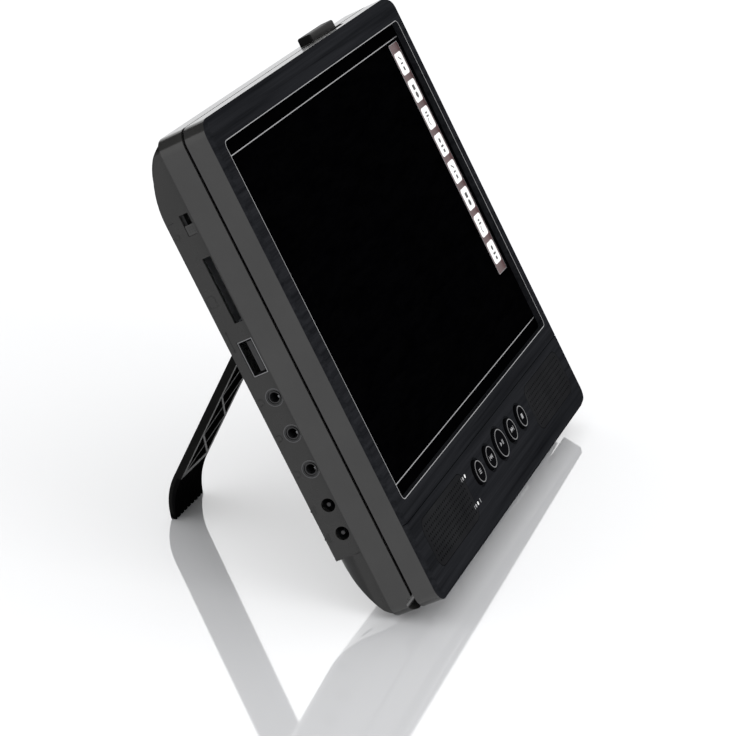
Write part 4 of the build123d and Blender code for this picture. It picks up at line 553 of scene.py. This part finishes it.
def label_strip():
    """The strip of small picture labels printed up the right of the screen."""
    middle = (STRIP_LOW + STRIP_HIGH) / 2
    height = STRIP_HIGH - STRIP_LOW + 2 * STRIP_END
    top = LENS_Z + LINE_T
    inner = rounded(STRIP_W, height, STRIP_R, STRIP_X, middle)
    outer = rounded(
        STRIP_W + 2 * STRIP_EDGE, height + 2 * STRIP_EDGE, STRIP_R + STRIP_EDGE, STRIP_X, middle
    )
    symbols(
        "label_strip_backing", [inner], LENS_Z, top - LAYER, "print_maroon", "display_unit", "screen"
    )
    outline = ring_prism(outer, inner, LENS_Z, top)
    mesh_piece("label_strip_outline", *outline, "print_grey", "display_unit", "screen")
    pitch = (STRIP_HIGH - STRIP_LOW) / PILL_COUNT
    places = [STRIP_LOW + pitch * (index + 0.5) for index in range(PILL_COUNT)]
    pills = [rounded(PILL_W, pitch - PILL_GAP, PILL_R, STRIP_X, y) for y in places]
    symbols("strip_labels", pills, LENS_Z, top + LAYER, "print_white", "display_unit", "screen")
    marks = [mark for index, y in enumerate(places) for mark in pill_marks(index, STRIP_X, y)]
    symbols(
        "strip_label_marks", marks, LENS_Z, top + MARK_LIFT, "print_black", "display_unit", "screen"
    )


# ---------------------------------------------------------------- control panel


def upright(x, width):
    """A vertical stroke as high as a button's symbol."""
    return bar((x, -SYMBOL_H), (x, SYMBOL_H), width)


def button_symbols():
    """Pale generic pictures and polished rims on the buttons, each riding on its own button."""
    right = [(-0.7, -SYMBOL_H), (SYMBOL_H, 0), (-0.7, SYMBOL_H)]
    left = [(-px, py) for px, py in right]
    pictures = {
        "menu": (-2, [bar((-1.1, y), (1.1, y), SYMBOL_W) for y in (-0.7, 0, 0.7)]),
        "back": (-1, [shifted(left, -0.6, 0), shifted(left, 0.9, 0), upright(-1.9, SYMBOL_W)]),
        "play": (0, [shifted(right, -1.1, 0), upright(0.9, PAUSE_W), upright(1.7, PAUSE_W)]),
        "forward": (1, [shifted(right, 0.6, 0), shifted(right, -0.9, 0), upright(1.9, SYMBOL_W)]),
        "stop": (2, [rounded(STOP_W, STOP_W, 0.1)]),
    }
    for name, (step, outlines) in pictures.items():
        x = BUTTON_X + step * BUTTON_PITCH
        moved = [shifted(outline, x, BUTTON_Y) for outline in outlines]
        symbols(
            name + "_button_symbol", moved, BUTTON_TOP, BUTTON_TOP + LINE_T, "print_grey",
            name + "_button", "button",
        )
        outside = (SMALL_BUTTON_R if step else LARGE_BUTTON_R) - BUTTON_RIM_IN
        rim = ring_prism(
            circle(outside, x, BUTTON_Y, 64), circle(outside - BUTTON_RIM_W, x, BUTTON_Y, 64),
            BUTTON_TOP - BUTTON_RIM_LOW, BUTTON_TOP + BUTTON_RIM_HIGH,
        )
        mesh_piece(name + "_button_rim", *rim, "rim", name + "_button", "button")


def panel_marks():
    """Tiny printed marks beside the two indicator lights."""
    outlines = []
    for y in LIGHT_Y:
        outlines.append(circle(LIGHT_DOT_R, LIGHT_DOT_X, y, 20))
        low_end = (LIGHT_BAR_X, y - LIGHT_DOT_R)
        high_end = (LIGHT_BAR_X, y + LIGHT_DOT_R)
        outlines.append(bar(low_end, high_end, LIGHT_BAR_W))
    low_y, high_y = LIGHT_END_Y
    outlines.append(bar((LIGHT_END_X, low_y), (LIGHT_END_X, high_y), LIGHT_END_W))
    symbols("indicator_marks", outlines, -LINE_T, LINE_T, "print_grey", "display_unit", "bezel")


# ---------------------------------------------------------------- ports


def headphone_mark(middle):
    """A head band and its two ears."""
    ears = [
        bar((along, MARK_Z - EAR_LOW), (along, MARK_Z + EAR_HIGH), EAR_W)
        for along in (middle - EAR_R, middle + EAR_R)
    ]
    return [arc_band(EAR_R, MARK_W, middle, MARK_Z, 0, pi), *ears]


def supply_mark(middle):
    """Two lines and a dot, for direct current."""
    lines = [
        bar((middle - SUPPLY_W, out), (middle + SUPPLY_W, out), MARK_W)
        for out in (MARK_Z, MARK_Z - SUPPLY_DROP)
    ]
    return [*lines, circle(SUPPLY_DOT_R, middle, MARK_Z - SUPPLY_DOT_DROP, 16)]


def card_mark():
    """Outline of a card with one corner cut off."""
    along, lift = CARD_MARK
    after = CARD_CORNERS[1:] + CARD_CORNERS[:1]
    return [
        shifted(bar(start, end, MARK_W), along, MARK_Z + lift)
        for start, end in zip(CARD_CORNERS, after)
    ]


def usb_mark():
    """A line with a dot at one end and an arrow head at the other."""
    low_end, high_end = USB_LINE
    head = [(high_end, MARK_Z - USB_POINT_W), (USB_POINT, MARK_Z), (high_end, MARK_Z + USB_POINT_W)]
    return [
        bar((low_end, MARK_Z), (high_end, MARK_Z), MARK_W),
        head,
        circle(USB_DOT_R, USB_DOT, MARK_Z, 18),
    ]


def switch_marks():
    """A stroke beside one end of the slider and a ring beside the other."""
    return [
        bar((SWITCH_ON, MARK_Z - 1), (SWITCH_ON, MARK_Z + 1), SWITCH_MARK_W),
        arc_band(SWITCH_MARK_R, MARK_W, SWITCH_OFF, MARK_Z, 0.001, 2 * pi),
    ]


def port_marks():
    """Engraved generic pictures on the left wall."""
    outlines = []
    for middle in ROUND_JACKS:
        outlines += headphone_mark(middle)
    for middle in POWER_JACKS:
        outlines += supply_mark(middle)
    outlines += card_mark() + usb_mark() + switch_marks()
    symbols(
        "port_symbols", outlines, -ENGRAVED, LINE_T, "engraving", "player", "casing", DEVICE @ SIDE
    )


def port_contacts():
    """Spring contacts inside the round jacks."""
    contacts = [
        rounded(CONTACT_W, CONTACT_H, CONTACT_R, middle - CONTACT_W, PORT_Z)
        for middle in ROUND_JACKS
    ]
    symbols("jack_contacts", contacts, *CONTACT_DEPTHS, "steel", "player", "steel", DEVICE @ SIDE)


def port_rims():
    """Thin polished lips round the jacks, which catch the light."""
    rings = [
        ring_prism(
            circle(RIM_R, middle, PORT_Z, 48), circle(RIM_R - RIM_W, middle, PORT_Z, 48),
            -ENGRAVED, RIM_T,
        )
        for middle in ROUND_JACKS
    ]
    mesh_piece("jack_rims", *joined(rings), "rim", "player", "jack", DEVICE @ SIDE)


# ---------------------------------------------------------------- floor, light and camera


def light_card(name, toward, distance, size, strength):
    """A soft square light that faces the player from a direction in the row frame."""
    data = bpy.data.lights.new(name, "AREA")
    data.shape = "RECTANGLE"
    data.size, data.size_y = size
    data.energy = strength
    lamp = bpy.data.objects.new(name, data)
    bpy.context.scene.collection.objects.link(lamp)
    aim = Vector(toward).normalized()
    lamp.location = CENTRE + aim * distance
    lamp.rotation_euler = aim.to_track_quat("Z", "Y").to_euler()


def dark_card(name, middle, size, lying=False):
    """A black card that only reflections see, and only from the side that faces the player."""
    bpy.ops.mesh.primitive_plane_add(size=1, location=middle)
    card = bpy.context.object
    card.name = name
    card.scale = (size[0], size[1], 1)
    if not lying:
        card.rotation_euler = (CENTRE - Vector(middle)).to_track_quat("Z", "Y").to_euler()
    material, nodes, links, shader = new_material(name + "_black")
    shader.inputs["Base Color"].default_value = (0, 0, 0, 1)
    shader.inputs["Roughness"].default_value = 1
    shader.inputs["Specular IOR Level"].default_value = 0
    sides = nodes.new("ShaderNodeNewGeometry")
    clear = nodes.new("ShaderNodeBsdfTransparent")
    mix = nodes.new("ShaderNodeMixShader")
    links.new(sides.outputs["Backfacing"], mix.inputs["Fac"])
    links.new(shader.outputs["BSDF"], mix.inputs[1])
    links.new(clear.outputs["BSDF"], mix.inputs[2])
    links.new(mix.outputs["Shader"], nodes["Material Output"].inputs["Surface"])
    card.data.materials.append(material)
    card.visible_camera = False
    card.visible_diffuse = False
    card.visible_shadow = False


def floor_sheet():
    """Pale glossy floor."""
    bpy.ops.mesh.primitive_plane_add(size=12, location=(0, 0, -0.0002))
    floor = bpy.context.object
    floor.name = "studio_floor"
    material, nodes, links, shader = new_material("glossy_white_floor")
    wide = noise(nodes, links, device_coordinates(nodes, links, (3, 3, 3)), 2.0)
    colour = blend(nodes, links, wide, (0.70, 0.705, 0.72), (0.72, 0.725, 0.74))
    links.new(colour, shader.inputs["Base Color"])
    shader.inputs["Roughness"].default_value = 0.04
    shader.inputs["IOR"].default_value = 4.0
    floor.data.materials.append(material)


def studio_world():
    """Even white surroundings."""
    world = bpy.data.worlds.new("white_studio")
    world.use_nodes = True
    shade = world.node_tree.nodes["Background"]
    shade.inputs["Color"].default_value = (1, 1, 1, 1)
    shade.inputs["Strength"].default_value = 1.25
    bpy.context.scene.world = world


def camera():
    """Camera at the viewing angle, placed in the player's own frame."""
    data = bpy.data.cameras.new("view")
    data.lens = LENS
    data.sensor_width = SENSOR
    data.clip_start = 0.01
    eye = bpy.data.objects.new("view", data)
    bpy.context.scene.collection.objects.link(eye)
    eye.location = DEVICE @ Vector(EYE)
    forward = TURN.to_3x3() @ Vector(VIEW_AXIS)
    eye.rotation_euler = forward.to_track_quat("-Z", "Y").to_euler()
    bpy.context.scene.camera = eye


CENTRE = (Vector(CAD_BOX[0]) + Vector(CAD_BOX[1])) / 2

dress_frame()
screen_lines()
label_strip()
button_symbols()
panel_marks()
port_marks()
port_contacts()
port_rims()
floor_sheet()
studio_world()
dark_card("rear_dark_card", (-0.1, 0.6, 0.56), (0.9, 0.7))
# painted shade: a black sheet, seen only in reflections, that stands in for the player's shadow on the floor
# behind it
dark_card("rear_floor_painted_shade_card", (-0.02, 0.24, 0.001), (0.5, 0.3), lying=True)
light_card("front_left_light", (-0.4, -0.87, 0.35), 1.2, (0.7, 0.7), 6)
camera()

bpy.context.scene.view_settings.view_transform = "Standard"
